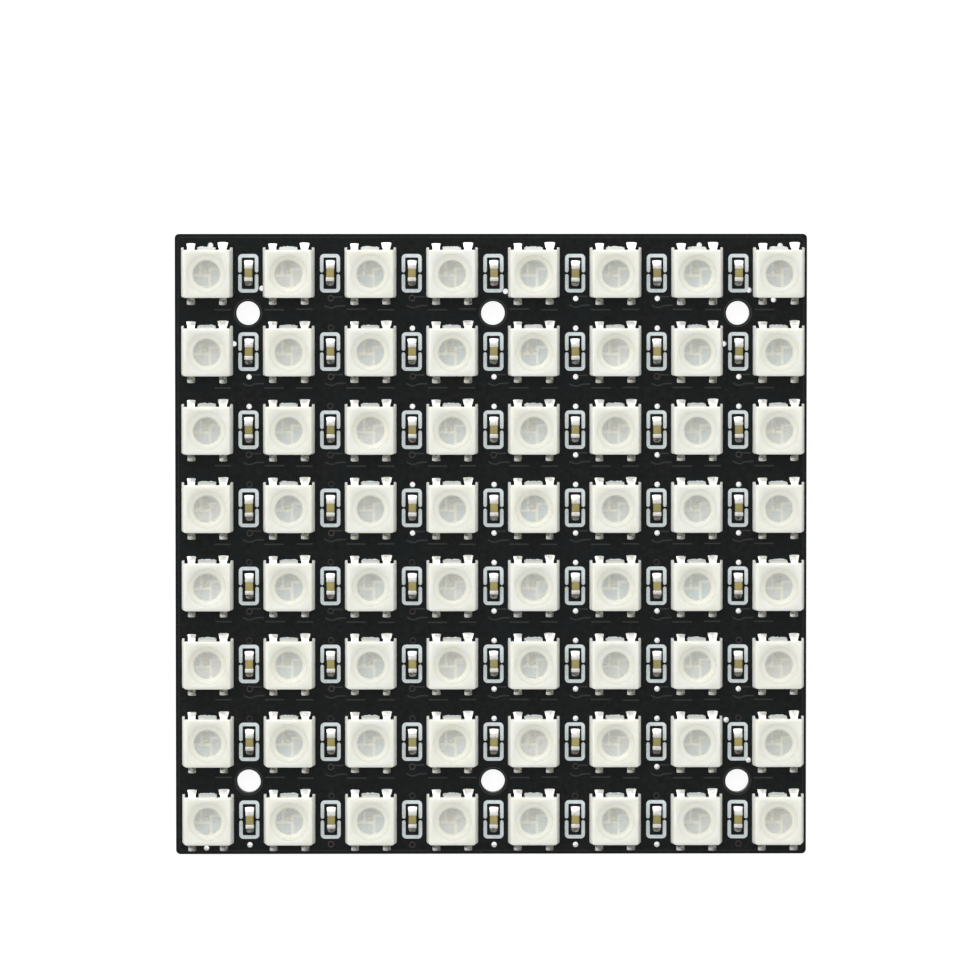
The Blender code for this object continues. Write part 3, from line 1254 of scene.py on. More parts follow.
@dataclass(frozen=True)
class DieFinish(Finish):
    """Semiconductor dies, brown to violet grey."""

    name: str = "semiconductor_die"
    roughness: float = 0.25
    specular: float = 0.6
    relief: Grain = Grain(20.0, 1.0)
    relief_height: float = 0.002 * MM
    brown: Colour = (0.66, 0.62, 0.51)
    violet: Colour = (0.62, 0.615, 0.58)
    tracks: Grain = Grain(6.0, 2.0)

    def paint(self, surface: Surface) -> None:
        """Mixes the two greys."""
        surface.colour(surface.blend(surface.noise(self.tracks), self.brown, self.violet))


@dataclass(frozen=True)
class GoldFinish(Finish):
    """Fine gold bond wire."""

    name: str = "gold_wire"
    roughness: float = 0.25
    metallic: float = 1.0
    light: Colour = (0.88, 0.76, 0.50)
    dark: Colour = (0.74, 0.62, 0.38)
    glints: Grain = Grain(8.0, 1.0)

    def paint(self, surface: Surface) -> None:
        """Mixes the two golds."""
        surface.colour(surface.blend(surface.noise(self.glints), self.light, self.dark))


@dataclass(frozen=True)
class LaminateFinish(Finish):
    """Cut edge of dark glass-epoxy laminate, with its layers of cloth."""

    name: str = "board_laminate"
    roughness: float = 0.6
    specular: float = 0.3
    relief: Grain = Grain(10.0, 4.0)
    relief_height: float = 0.015 * MM
    resin: Colour = (0.030, 0.029, 0.024)
    glass: Colour = (0.075, 0.070, 0.056)
    wave_scale: float = 0.25 / MM
    wave_distortion: float = 1.5
    cover: Grain = Grain(6.0, 4.0, 0.0, 0.7)

    def paint(self, surface: Surface) -> None:
        """Lays the cloth in level bands, under resin in patches.

        Args:
            surface: the material in work.
        """
        place = surface.tree.nodes.new("ShaderNodeTexCoord")
        wave = surface.tree.nodes.new("ShaderNodeTexWave")
        wave.bands_direction = "Z"
        wave.inputs["Scale"].default_value = self.wave_scale
        wave.inputs["Distortion"].default_value = self.wave_distortion
        surface.link(place.outputs["Object"], wave.inputs["Vector"])
        layered = surface.blend(wave.outputs["Fac"], self.resin, self.glass)
        surface.colour(surface.blend(surface.noise(self.cover), layered, self.resin))


MASKED_COPPER = CopperFinish("masked_copper", bright=(0.026, 0.022, 0.019), brown=(0.010, 0.009, 0.008))


@dataclass
class Finishes:
    """Every material of the panel, made once."""

    mask: bpy.types.Material = field(default_factory=MaskFinish().make)
    mask_over_copper: bpy.types.Material = field(default_factory=CopperMaskFinish().make)
    silk: bpy.types.Material = field(default_factory=SilkFinish().make)
    housing: bpy.types.Material = field(default_factory=HousingFinish().make)
    solder: bpy.types.Material = field(default_factory=SolderFinish().make)
    leadframe: bpy.types.Material = field(default_factory=LeadframeFinish().make)
    resin: bpy.types.Material = field(default_factory=ResinFinish().make)
    copper: bpy.types.Material = field(default_factory=CopperFinish().make)
    masked_copper: bpy.types.Material = field(default_factory=MASKED_COPPER.make)
    ceramic: bpy.types.Material = field(default_factory=CeramicFinish().make)
    die: bpy.types.Material = field(default_factory=DieFinish().make)
    gold: bpy.types.Material = field(default_factory=GoldFinish().make)
    laminate: bpy.types.Material = field(default_factory=LaminateFinish().make)


def mount_piece(piece: bpy.types.Object, replaced: Sequence[str] = ()) -> None:
    """Rides a finished piece on the panel and reports it.

    Args:
        piece: the finished piece.
        replaced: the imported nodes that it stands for.
    """
    if replaced:
        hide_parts(*replaced)
    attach(piece, BODY)
    piece.data.calc_loop_triangles()
    log.info("%s: %d triangles", piece.name, len(piece.data.loop_triangles))


# The circuit board


@dataclass
class Vias:
    """The plated holes between the columns, some open and some closed by solder mask.

    The open ones are written as one text for each row, with the number of each of their
    columns. Strays lie elsewhere, in millimetres from the board's middle. The section of a
    closed one's rim is in shares of its width and height.
    """

    layout: Layout
    copies: Copies
    shift_x: float = 0.10 * MM
    from_row: dict[End, float] = field(default_factory=lambda: {End.NORTH: 2.32 * MM, End.SOUTH: 2.37 * MM})
    hole_radius: float = 0.23 * MM
    wall_radius: float = 0.26 * MM
    ring_inner: float = 0.21 * MM
    ring_outer: float = 0.32 * MM
    ring_height: float = 0.03 * MM
    ring_section: tuple[Point2, ...] = (
        (0.0, -0.5),
        (1.0, -0.5),
        (1.0, 0.25),
        (0.75, 0.85),
        (0.5, 1.0),
        (0.25, 0.7),
        (0.0, 0.25),
    )
    proud: float = 0.004 * MM
    drift: float = 0.04 * MM
    steps: int = 16
    open_north: tuple[str, ...] = ("", "356", "134567", "34567", "457", "456", "456", "")
    open_south: tuple[str, ...] = ("56", "1457", "56", "34567", "4567", "4567", "6", "1456")
    strays: tuple[Point2, ...] = (
        (-27.05, 28.9),
        (-22.1, 24.75),
        (-24.8, 19.4),
        (1.4, 24.45),
        (24.88, 24.57),
        (27.9, 28.85),
        (20.1, 28.9),
        (27.26, 23.64),
        (22.47, 19.38),
        (-27.55, -29.4),
        (22.75, -17.0),
        (24.9, -20.9),
    )

    def regular(self, end: End, is_open: bool) -> list[Point2]:
        """Lists the vias at one end of the capacitors, none of them over the top row.

        Args:
            end: the end where they lie.
            is_open: whether the open ones are wanted, or else the closed ones.

        Returns:
            Their places.
        """
        holes = set(self.layout.hole_cells())
        marks = self.open_north if end is End.NORTH else self.open_south
        places = []
        for row in range(self.layout.rows):
            for column in range(self.layout.columns - 1):
                cell = (row - 1, column) if end is End.NORTH else (row, column)
                if cell[0] < 0 or cell in holes or (str(column + 1) in marks[row]) != is_open:
                    continue
                x = self.layout.column_x(column + 0.5) + self.shift_x
                places.append((x, self.layout.row_y(row) + end.value * self.from_row[end]))
        return places

    def open_places(self) -> list[Point2]:
        """Returns the places of all open vias."""
        regular = [place for end in End for place in self.regular(end, True)]
        return regular + [(x * MM, y * MM) for x, y in self.strays]

    def build(self, finishes: Finishes) -> None:
        """Makes the open vias as plated tubes and the closed ones as dimpled rings.

        Args:
            finishes: the panel's materials.
        """
        places = self.open_places()
        seed = Seed.OPEN_VIAS.value
        piece = self.copies.on_sites("open_vias", self.tube(), finishes.solder, places, seed)
        mount_piece(piece)
        for end, finish in ((End.NORTH, finishes.masked_copper), (End.SOUTH, finishes.copper)):
            name = f"closed_vias_{end.name.lower()}"
            places = self.regular(end, False)
            seed = Seed.CLOSED_VIAS.value
            piece = self.copies.on_sites(name, self.dimple(), finish, places, seed, self.drift)
            mount_piece(piece)

    def hoop(self, name: str, section: Iterable[Point2]) -> bpy.types.Object:
        """Makes a closed hoop about Z.

        Args:
            name: its name.
            section: its section as radius and height.

        Returns:
            The hoop.
        """
        shape = bmesh.new()
        rings = [ring_points(radius, self.steps, z) for radius, z in section]
        loft(shape, rings + rings[:1], caps=False)
        return to_object(name, shape)

    def tube(self) -> bpy.types.Object:
        """Makes the master of an open via's plated wall, from the back to just over the front.

        Returns:
            The master.
        """
        low = -self.layout.board_top
        inner = self.hole_radius
        outer = self.wall_radius
        return self.hoop("open_via", ((inner, low), (outer, low), (outer, self.proud), (inner, self.proud)))

    def dimple(self) -> bpy.types.Object:
        """Makes the master of a closed via's raised rim.

        Returns:
            The master.
        """
        breadth = self.ring_outer - self.ring_inner
        places = [(self.ring_inner + x * breadth, z * self.ring_height) for x, z in self.ring_section]
        return self.hoop("closed_via", places)


@dataclass
class CircuitBoard:
    """The laminate with its black solder mask, mounting holes, via holes and wire pads."""

    layout: Layout
    vias: Vias
    corner_radius: float = 0.42 * MM
    corner_steps: int = 6
    hole_radius: float = 1.15 * MM
    hole_steps: int = 48
    drill_overrun: float = 0.3 * MM
    edge_softening: float = 0.04 * MM
    wire_pads: int = 3
    wire_pad_pitch: float = 2.54 * MM
    wire_pad_width: float = 1.6 * MM
    wire_pad_length: float = 2.6 * MM
    wire_pad_edge: float = 1.0 * MM
    wire_pad_gap: float = 0.04 * MM
    wire_pad_skin: float = 0.01 * MM
    mask_recess: float = 0.05 * MM
    edge_limit: float = 0.5

    def outline(self, inset: float) -> list[Point2]:
        """Makes the board's outline.

        Args:
            inset: how far it is drawn in.

        Returns:
            The points, counterclockwise.
        """
        low = self.layout.board_low
        high = self.layout.board_high
        return rounded_rectangle(
            high.x - low.x - 2 * inset,
            high.y - low.y - 2 * inset,
            {end: self.corner_radius for end in End},
            self.corner_steps,
            (low.x + high.x) / 2,
            (low.y + high.y) / 2,
        )

    def drills(self) -> bpy.types.Object:
        """Makes the cutter of all round holes.

        Returns:
            The cutter.
        """
        low = -self.drill_overrun
        high = self.layout.board_top + self.drill_overrun
        shape = bmesh.new()
        for row, column in self.layout.hole_cells():
            x, y = self.layout.cell_middle(row, column)
            loft(shape, [ring_points(self.hole_radius, self.hole_steps, z, x, y) for z in (low, high)])
        radius = (self.vias.hole_radius + self.vias.wall_radius) / 2
        for x, y in self.vias.open_places():
            loft(shape, [ring_points(radius, self.vias.steps, z, x, y) for z in (low, high)])
        return to_object("drills", shape)

    def wire_pad_boxes(self, inset: float) -> list[tuple[Vector, Vector]]:
        """Lists the wire pads' boxes on the back.

        Args:
            inset: how much smaller than its window each box is, all round.

        Returns:
            Their lowest and highest corners, from below the back to the bottom of the recess.
        """
        half = (self.layout.board_high.y - self.layout.board_low.y) / 2
        middle = half - self.wire_pad_edge - self.wire_pad_length / 2
        boxes = []
        for end in End:
            for pad in range(self.wire_pads):
                x = (pad - (self.wire_pads - 1) / 2) * self.wire_pad_pitch
                reach = Vector((self.wire_pad_width / 2 - inset, self.wire_pad_length / 2 - inset, 0.0))
                centre = Vector((x, end.value * middle, 0.0))
                boxes.append((centre - reach, centre + reach + Vector((0.0, 0.0, self.mask_recess))))
        return boxes

    def build(self, finishes: Finishes) -> None:
        """Makes the plate and its wire pads.

        Args:
            finishes: the panel's materials.
        """
        shape = bmesh.new()
        top = self.layout.board_top
        rise = self.edge_softening
        levels = ((rise, 0.0), (0.0, rise), (0.0, top - rise), (rise, top))
        loft(shape, [[Vector((x, y, z)) for x, y in self.outline(inset)] for inset, z in levels])
        plate = to_object("board_plate", shape)
        cut(plate, self.drills())
        windows = bmesh.new()
        for low, high in self.wire_pad_boxes(0.0):
            block(windows, low - Vector((0.0, 0.0, self.drill_overrun)), high)
        cut(plate, to_object("pad_windows", windows))
        self.dress(plate, finishes)
        mount_piece(plate, [BOARD_NODE])
        pads = bmesh.new()
        under = self.mask_recess - self.wire_pad_skin
        over = self.mask_recess + self.wire_pad_skin
        for low, high in self.wire_pad_boxes(self.wire_pad_gap):
            block(pads, (low.x, low.y, under), (high.x, high.y, over))
        made = to_object("wire_pads", pads)
        made.data.materials.append(finishes.solder)
        mount_piece(made)

    def dress(self, plate: bpy.types.Object, finishes: Finishes) -> None:
        """Gives the faces the mask, and the cut edge the bare laminate.

        A face is cut edge where its normal rises by less than the limit.

        Args:
            plate: the board's plate.
            finishes: the panel's materials.
        """
        plate.data.materials.clear()
        plate.data.materials.append(finishes.mask)
        plate.data.materials.append(finishes.laminate)
        for polygon in plate.data.polygons:
            polygon.material_index = int(abs(polygon.normal.z) < self.edge_limit)
        shade(plate)


@dataclass
class Traces:
    """The copper under the mask, which shows as low ridges.

    The lines are in millimetres from the middle of the cell between four LEDs.
    """

    layout: Layout
    copies: Copies
    board: CircuitBoard
    width: float = 0.26 * MM
    height: float = 0.012 * MM
    depth: float = 0.02 * MM
    slope: float = 0.09 * MM
    drift: float = 0.05 * MM
    # Painted highlight: the lines round the board's edge and the holes take the palest tone.
    edge_highlight_tone: float = 1.0
    edge_line_inset: float = 0.33 * MM
    edge_line_width: float = 0.16 * MM
    hole_ring_radius: float = 1.31 * MM
    hole_ring_width: float = 0.24 * MM
    hole_ring_steps: int = 48
    lead_lines: tuple[tuple[Point2, ...], ...] = (
        ((-3.24, 0.34), (-1.64, 0.34)),
        ((1.60, 0.34), (3.48, 0.34)),
    )
    via_lines: tuple[tuple[Point2, ...], ...] = (
        ((-0.48, 0.76), (-0.22, 0.62), (0.02, 0.53), (0.35, 0.53), (0.58, 0.66), (0.95, 0.72), (1.55, 0.73)),
        ((0.30, 1.57), (1.26, 1.57)),
    )

    def lines(self, name: str, paths: Iterable[Sequence[Point2]]) -> bpy.types.Object:
        """Makes a master of raised lines.

        Args:
            name: the master's name.
            paths: the lines' middles, in millimetres from the middle of a cell.

        Returns:
            The master.
        """
        shape = bmesh.new()
        for path in paths:
            places = [(x * MM, y * MM) for x, y in path]
            ribbon(shape, places, self.width, -self.depth, self.height, self.slope)
        return to_object(name, shape)

    def build(self, finishes: Finishes) -> None:
        """Makes the lines by the leads, those by the vias, and those round the board and holes.

        Args:
            finishes: the panel's materials.
        """
        cells = self.layout.cells()
        plain = [cell for cell in cells if cell not in self.layout.hole_cells()]
        runs = (
            ("lead_traces", self.lead_lines, cells, Seed.LEAD_TRACES.value),
            ("via_traces", self.via_lines, plain, Seed.VIA_TRACES.value),
        )
        for name, paths, where, seed in runs:
            places = [self.layout.cell_middle(row, column) for row, column in where]
            master = self.lines(name + "_master", paths)
            piece = self.copies.on_sites(name, master, finishes.mask_over_copper, places, seed, self.drift)
            mount_piece(piece)
        low = self.layout.board_top - self.depth
        high = self.layout.board_top + self.height
        shape = bmesh.new()
        edge = self.board.outline(self.edge_line_inset)
        ribbon(shape, edge, self.edge_line_width, low, high, self.slope, closed=True)
        for row, column in self.layout.hole_cells():
            x, y = self.layout.cell_middle(row, column)
            points = ring_points(self.hole_ring_radius, self.hole_ring_steps, 0.0, x, y)
            ring = [(point.x, point.y) for point in points]
            ribbon(shape, ring, self.hole_ring_width, low, high, self.slope, closed=True)
        made = to_object("edge_and_hole_traces", shape)
        # Painted highlight: these lines get the palest tone, as if catching the light.
        mark_points(made, "tone", lambda place: self.edge_highlight_tone)
        made.data.materials.append(finishes.mask_over_copper)
        shade(made)
        mount_piece(made)


@dataclass
class Legend:
    """The printed marks: a bracket in two halves round each capacitor, a bar north of each LED."""

    layout: Layout
    copies: Copies
    length: float = 1.94 * MM
    width: float = 3.72 * MM
    line: float = 0.34 * MM
    gap: float = 0.15 * MM
    corner: float = 0.4 * MM
    inner_corner: float = 0.1 * MM
    corner_steps: int = 5
    ink: float = 0.025 * MM
    from_capacitor_x: float = -0.04 * MM
    bar_left: float = -0.93 * MM
    bar_right: float = 0.83 * MM
    bar_root: float = 2.30 * MM
    bar_tip: float = 2.70 * MM
    bar_steps: int = 16
    bar_ragged: float = 0.09 * MM
    bar_shoulder: float = 0.12 * MM
    shoulder_power: int = 6

    def arc(self, x: float, y: float, radius: float, start: float, end: float) -> list[Point2]:
        """Makes the points of an arc.

        Args:
            x: its centre along X.
            y: its centre along Y.
            radius: its radius.
            start: its first angle in quarter turns.
            end: its last angle in quarter turns.

        Returns:
            The points.
        """
        steps = self.corner_steps
        turns = [math.pi / 2 * (start + (end - start) * step / steps) for step in range(steps + 1)]
        return [(x + radius * math.cos(turn), y + radius * math.sin(turn)) for turn in turns]

    def half_bracket(self) -> list[Point2]:
        """Makes the outline of the northern half of a bracket, with round tips.

        Returns:
            The points, counterclockwise.
        """
        outer_x = self.length / 2
        outer_y = self.width / 2
        inner_x = outer_x - self.line
        inner_y = outer_y - self.line
        tip = self.line / 2
        tip_y = self.gap / 2 + tip
        middle = (outer_x + inner_x) / 2
        outline = self.arc(outer_x - self.corner, outer_y - self.corner, self.corner, 0, 1)
        outline += self.arc(self.corner - outer_x, outer_y - self.corner, self.corner, 1, 2)
        outline += self.arc(-middle, tip_y, tip, 2, 4)
        nook = self.inner_corner
        outline += reversed(self.arc(nook - inner_x, inner_y - nook, nook, 1, 2))
        outline += reversed(self.arc(inner_x - nook, inner_y - nook, nook, 0, 1))
        outline += self.arc(middle, tip_y, tip, -2, 0)
        return outline

    def bracket(self) -> bpy.types.Object:
        """Makes the master of both halves of a bracket.

        Returns:
            The master.
        """
        shape = bmesh.new()
        north = self.half_bracket()
        prism(shape, north, -self.ink, self.ink)
        prism(shape, [(-x, -y) for x, y in north], -self.ink, self.ink)
        return to_object("bracket", shape)

    def bars(self) -> bpy.types.Object:
        """Makes all bars, each with its own ragged edge.

        Returns:
            The bars.
        """
        draw = random.Random(Seed.LED_BARS.value)
        top = self.layout.board_top
        shape = bmesh.new()
        for row in range(self.layout.rows):
            for column in range(self.layout.columns):
                x = self.layout.column_x(column)
                y = self.layout.row_y(row)
                right = x + self.bar_right
                left = x + self.bar_left
                outline = [(left, y + self.bar_root), (right, y + self.bar_root)]
                for step in range(self.bar_steps + 1):
                    along = right + (left - right) * step / self.bar_steps
                    off_middle = abs(2 * step / self.bar_steps - 1)
                    shoulder = self.bar_shoulder * off_middle**self.shoulder_power
                    outline.append((along, y + self.bar_tip - shoulder - draw.uniform(0.0, self.bar_ragged)))
                prism(shape, outline, top - self.ink, top + self.ink)
        return to_object("led_bars", shape)

    def build(self, finishes: Finishes) -> None:
        """Makes the brackets and the bars.

        Args:
            finishes: the panel's materials.
        """
        places = []
        for name in self.layout.capacitor_nodes():
            centre = node_centre(name)
            places.append((centre.x + self.from_capacitor_x, centre.y))
        seed = Seed.BRACKETS.value
        piece = self.copies.on_sites("capacitor_brackets", self.bracket(), finishes.silk, places, seed)
        mount_piece(piece)
        bars = self.bars()
        bars.data.materials.append(finishes.silk)
        mount_piece(bars)


# The LED packages


@dataclass(frozen=True)
class Chip:
    """A bare chip on a cup's floor: its middle, half its sides and its height, in millimetres."""

    x: float
    y: float
    half_x: float
    half_y: float
    tall: float


@dataclass
class LedPackages:
    """The white packages: moulded housing, leads with solder, leadframe, dies, wires and resin.

    The gaps between the pads and the runs of the bond wires are in millimetres from the
    package's middle. Numbers without a unit are counts and shares.
    """

    layout: Layout
    copies: Copies
    length: float = 5.0 * MM
    width: float = 4.84 * MM
    standoff: float = 0.03 * MM
    side_draft: float = 0.29 * MM
    end_draft: float = 0.13 * MM
    top_set_back: float = 0.15 * MM
    corner_radius: float = 0.1 * MM
    south_corner_radius: float = 0.2 * MM
    corner_steps: int = 4
    top_softening: float = 0.05 * MM
    top_shoulder: float = 0.3
    rim_radius: float = 1.75 * MM
    floor_radius: float = 1.28 * MM
    cup_depth: float = 0.88 * MM
    rim_fillet: float = 0.12 * MM
    rim_start: float = 0.2
    rim_crown: Point2 = (0.3, 0.25)
    rim_margin: float = 0.012 * MM
    cup_steps: int = 40
    pocket_width: float = 1.39 * MM
    pocket_wall: float = 2.26 * MM
    pocket_height: float = 1.38 * MM
    lead_spacing: float = 3.08 * MM
    lead_width: float = 0.70 * MM
    lead_top: float = 0.68 * MM
    lead_fall: float = 0.24 * MM
    lead_thickness: float = 0.15 * MM
    lead_face: float = 2.66 * MM
    lead_root: float = 2.20 * MM
    lead_bend: float = 0.12 * MM
    lead_inner_bend: float = 0.02 * MM
    lead_bend_steps: int = 3
    solder_root: float = 2.52 * MM
    solder_spread: float = 0.06
    north_left: Mound = Mound(0.70 * MM, 0.88 * MM, 0.45 * MM, 0.41 * MM, hollow=1.0, sag=0.22)
    north_right: Mound = Mound(0.80 * MM, 1.02 * MM, 0.53 * MM, 0.44 * MM, hollow=1.0, sag=0.22)
    south_left: Mound = Mound(0.74 * MM, 0.78 * MM, 0.46 * MM, 0.34 * MM, hollow=1.0, sag=0.4)
    south_right: Mound = Mound(0.74 * MM, 0.76 * MM, 0.46 * MM, 0.34 * MM, hollow=1.0, sag=0.4)
    plate: float = 0.008 * MM
    plate_gap: float = 0.004 * MM
    pad_gaps: tuple[tuple[Point2, Point2], ...] = (
        ((-0.76, -0.03), (-0.48, 2.56)),
        ((-2.56, -0.30), (0.30, 0.01)),
        ((0.15, -2.56), (0.45, 0.57)),
        ((0.24, 0.34), (2.56, 0.65)),
    )
    chips: tuple[Chip, ...] = (
        Chip(-0.15, 0.26, 0.21, 0.17, 0.10),
        Chip(-0.05, 0.80, 0.12, 0.12, 0.09),
        Chip(0.32, 0.86, 0.12, 0.12, 0.09),
        Chip(-0.28, 0.98, 0.11, 0.11, 0.09),
    )
    chip_softening: float = 0.012 * MM
    slack: float = 0.006 * MM
    skin_sink: float = 0.07 * MM
    skin_rings: Point2 = (0.6, 0.25)
    clear_radius: float = 1.22 * MM
    hazy_radius: float = 1.44 * MM
    full_radius: float = 1.62 * MM
    floor_haze: float = 0.31
    wire_radius: float = 0.012 * MM
    wire_start: float = 0.1 * MM
    wire_arch: float = 0.16 * MM
    wire_fall: float = 0.07 * MM
    wire_steps: int = 7
    wire_runs: tuple[tuple[Point2, Point2], ...] = (
        ((-0.15, 0.36), (-0.05, 0.78)),
        ((-0.05, 0.36), (0.30, 0.84)),
        ((-0.28, 0.36), (-0.28, 0.95)),
        ((-0.02, 0.18), (0.75, -0.1)),
        ((-0.25, 0.14), (-0.55, -0.6)),
        ((-0.3, 0.3), (-0.95, 0.35)),
    )
    # Painted shade on the southern leads and their solder, which lie in the housing's shadow; it deepens to
    # the right.
    south_lead_shade: float = 0.85
    south_shade: Point2 = (0.0, 0.9)
    shade_slope: float = 1.6

    @property
    def height(self) -> float:
        """The height of a package over the board."""
        return self.layout.board_high.z - self.layout.board_top

    @property
    def floor(self) -> float:
        """The height of a cup's floor over the board."""
        return self.height - self.cup_depth

    def block_rings(self) -> list[list[Vector]]:
        """Makes the drafted block's outlines from its foot to its softened top.

        Returns:
            The rings of points, from the lowest to the highest.
        """
        soft = self.top_softening
        shoulder = soft * self.top_shoulder
        lean = (self.height - soft) / self.height
        levels = (
            (0.0, 0.0, self.standoff),
            (self.side_draft * lean, self.end_draft * lean, self.height - soft),
            (self.side_draft + shoulder, self.end_draft + shoulder, self.height - shoulder),
            (self.side_draft + soft, self.end_draft + soft, self.height),
        )
        radii = {End.NORTH: self.corner_radius, End.SOUTH: self.south_corner_radius}
        rings = []
        for side, end, z in levels:
            forward = self.top_set_back * (1 - z / self.height)
            sizes = (self.length - 2 * side, self.width - 2 * end)
            outline = rounded_rectangle(*sizes, radii, self.corner_steps, 0.0, forward)
            rings.append([Vector((x, y, z)) for x, y in outline])
        return rings

    def housing(self) -> bpy.types.Object:
        """Makes the master of the moulded housing with its cup and its lead pockets.

        Returns:
            The master.
        """
        shape = bmesh.new()
        loft(shape, self.block_rings())
        made = to_object("housing", shape)
        cup = bmesh.new()
        over = (self.rim_radius + self.rim_fillet, self.height + self.rim_fillet)
        revolve(cup, [*self.cup_profile(), over], self.cup_steps)
        cut(made, to_object("cup", cup))
        pockets = bmesh.new()
        for end in End:
            for side in (-1, 1):
                x = side * self.lead_spacing / 2
                near, far = sorted((end.value * self.pocket_wall, end.value * self.width))
                low = (x - self.pocket_width / 2, near, -self.standoff)
                block(pockets, low, (x + self.pocket_width / 2, far, self.pocket_height))
        cut(made, to_object("pockets", pockets))
        # The cup mark carries the cup's creamier colour, brightened with painted light.
        mark_points(made, "cup", self.in_cup)
        return made

    def cup_profile(self) -> list[Point2]:
        """Makes the cup's wall from its floor over its rounded rim.

        Returns:
            Its radii and heights.
        """
        slope = (self.rim_radius - self.floor_radius) / self.cup_depth
        fillet = self.rim_fillet
        out, down = self.rim_crown
        return [
            (self.floor_radius, self.floor),
            (self.rim_radius - slope * fillet - self.rim_start * fillet, self.height - fillet),
            (self.rim_radius + out * fillet, self.height - down * fillet),
            (self.rim_radius + fillet, self.height),
        ]

    def in_cup(self, place: Vector) -> float:
        """Returns 1 for a point of the housing on the cup, and else 0."""
        inside = place.xy.length < self.rim_radius + self.rim_margin
        return float(inside and place.z < self.height - self.rim_fillet / 2)

    def lead_outline(self) -> list[Point2]:
        """Makes a lead's side view: a strip that leaves the housing and bends down.

        Returns:
            The points, as distance from the package's middle and height.
        """
        inner = self.lead_inner_bend
        bend = self.lead_bend
        face = self.lead_face
        top = self.lead_top - self.lead_fall
        under = top - self.lead_thickness
        back = face - self.lead_thickness
        outline = [
            (self.lead_root, under + self.lead_fall),
            (back - inner, under),
            (back, under - inner),
            (back, 0.0),
            (face, 0.0),
        ]
        for step in range(self.lead_bend_steps + 1):
            turn = math.pi / 2 * step / self.lead_bend_steps
            outline.append((face - bend * (1 - math.cos(turn)), top - bend * (1 - math.sin(turn))))
        outline.append((self.lead_root, self.lead_top))
        return outline

    def leads(self) -> bpy.types.Object:
        """Makes the master of a package's four leads.

        Returns:
            The master.
        """
        shape = bmesh.new()
        for end in End:
            for side in (-1, 1):
                x = side * self.lead_spacing / 2
                strip = []
                for reach in (x + self.lead_width / 2, x - self.lead_width / 2):
                    strip.append([Vector((reach, end.value * y, z)) for y, z in self.lead_outline()])
                loft(shape, strip)
        made = to_object("leads", shape)
        # Painted shade: the southern leads are darkened as if in the housing's shadow.
        mark_points(made, "stain", lambda place: self.south_lead_shade * (place.y < 0))
        return made

    def stain(self, place: Vector) -> float:
        """Returns how much painted shade a point of a southern lead's solder takes, more to the right."""
        low, high = self.south_shade
        return low + (high - low) * min(max(0.5 + self.shade_slope * place.x / self.lead_width, 0.0), 1.0)

    def solder(self, end: End, mound: Mound) -> bpy.types.Object:
        """Makes the master of the solder at one lead, with its root's middle at the origin.

        Args:
            end: the end of the package where the lead is.
            mound: the solder's shape.

        Returns:
            The master.
        """
        shape = bmesh.new()
        mound.add(shape, end)
        made = to_object("solder", shape)
        # Painted shade on the southern solder, deeper to its right.
        mark_points(made, "stain", lambda place: self.stain(place) * (end is End.SOUTH))
        return made

    def solder_runs(self) -> list[tuple[str, End, int, Mound]]:
        """Lists the solder of a package's four leads.

        Returns:
            For each its name, end of the package, side along X and shape.
        """
        return [
            ("north_left", End.NORTH, -1, self.north_left),
            ("north_right", End.NORTH, 1, self.north_right),
            ("south_left", End.SOUTH, -1, self.south_left),
            ("south_right", End.SOUTH, 1, self.south_right),
        ]

    def leadframe(self) -> bpy.types.Object:
        """Makes the master of the four silvered pads on the cup's floor, parted like a windmill.

        Returns:
            The master.
        """
        shape = bmesh.new()
        radius = self.floor_radius - self.plate_gap
        loft(shape, [ring_points(radius, self.cup_steps, self.floor + z) for z in (-self.plate, self.plate)])
        made = to_object("leadframe", shape)
        reach = 2 * self.floor_radius
        for low, high in self.pad_gaps:
            gap = bmesh.new()
            block(
                gap,
                (low[0] * MM, low[1] * MM, self.floor - reach),
                (high[0] * MM, high[1] * MM, self.floor + reach),
            )
            cut(made, to_object("gap", gap))
        return made

    def dies(self) -> bpy.types.Object:
        """Makes the master of the driver and the three light-giving dies.

        Returns:
            The master.
        """
        shape = bmesh.new()
        base = self.floor + self.plate
        for chip in self.chips:
            low = ((chip.x - chip.half_x) * MM, (chip.y - chip.half_y) * MM, base)
            high = ((chip.x + chip.half_x) * MM, (chip.y + chip.half_y) * MM, base + chip.tall * MM)
            block(shape, low, high)
        made = to_object("dies", shape)
        soften(made, self.chip_softening, 1)
        return made

    def wires(self) -> bpy.types.Object:
        """Makes the master of the bond wires that arch from the driver.

        Returns:
            The master.
        """
        shape = bmesh.new()
        base = self.floor + self.wire_start
        up = Vector((0.0, 0.0, 1.0))
        for (start_x, start_y), (end_x, end_y) in self.wire_runs:
            heading = Vector((end_x - start_x, end_y - start_y, 0.0)).normalized()
            side = Vector((-heading.y, heading.x, 0.0))
            spokes = (side, up, -side, -up)
            rings = []
            for step in range(self.wire_steps + 1):
                along = step / self.wire_steps
                x = (start_x + (end_x - start_x) * along) * MM
                y = (start_y + (end_y - start_y) * along) * MM
                z = base + self.wire_arch * math.sin(math.pi * along) - self.wire_fall * along
                rings.append([Vector((x, y, z)) + spoke * self.wire_radius for spoke in spokes])
            loft(shape, rings)
        return to_object("wires", shape)

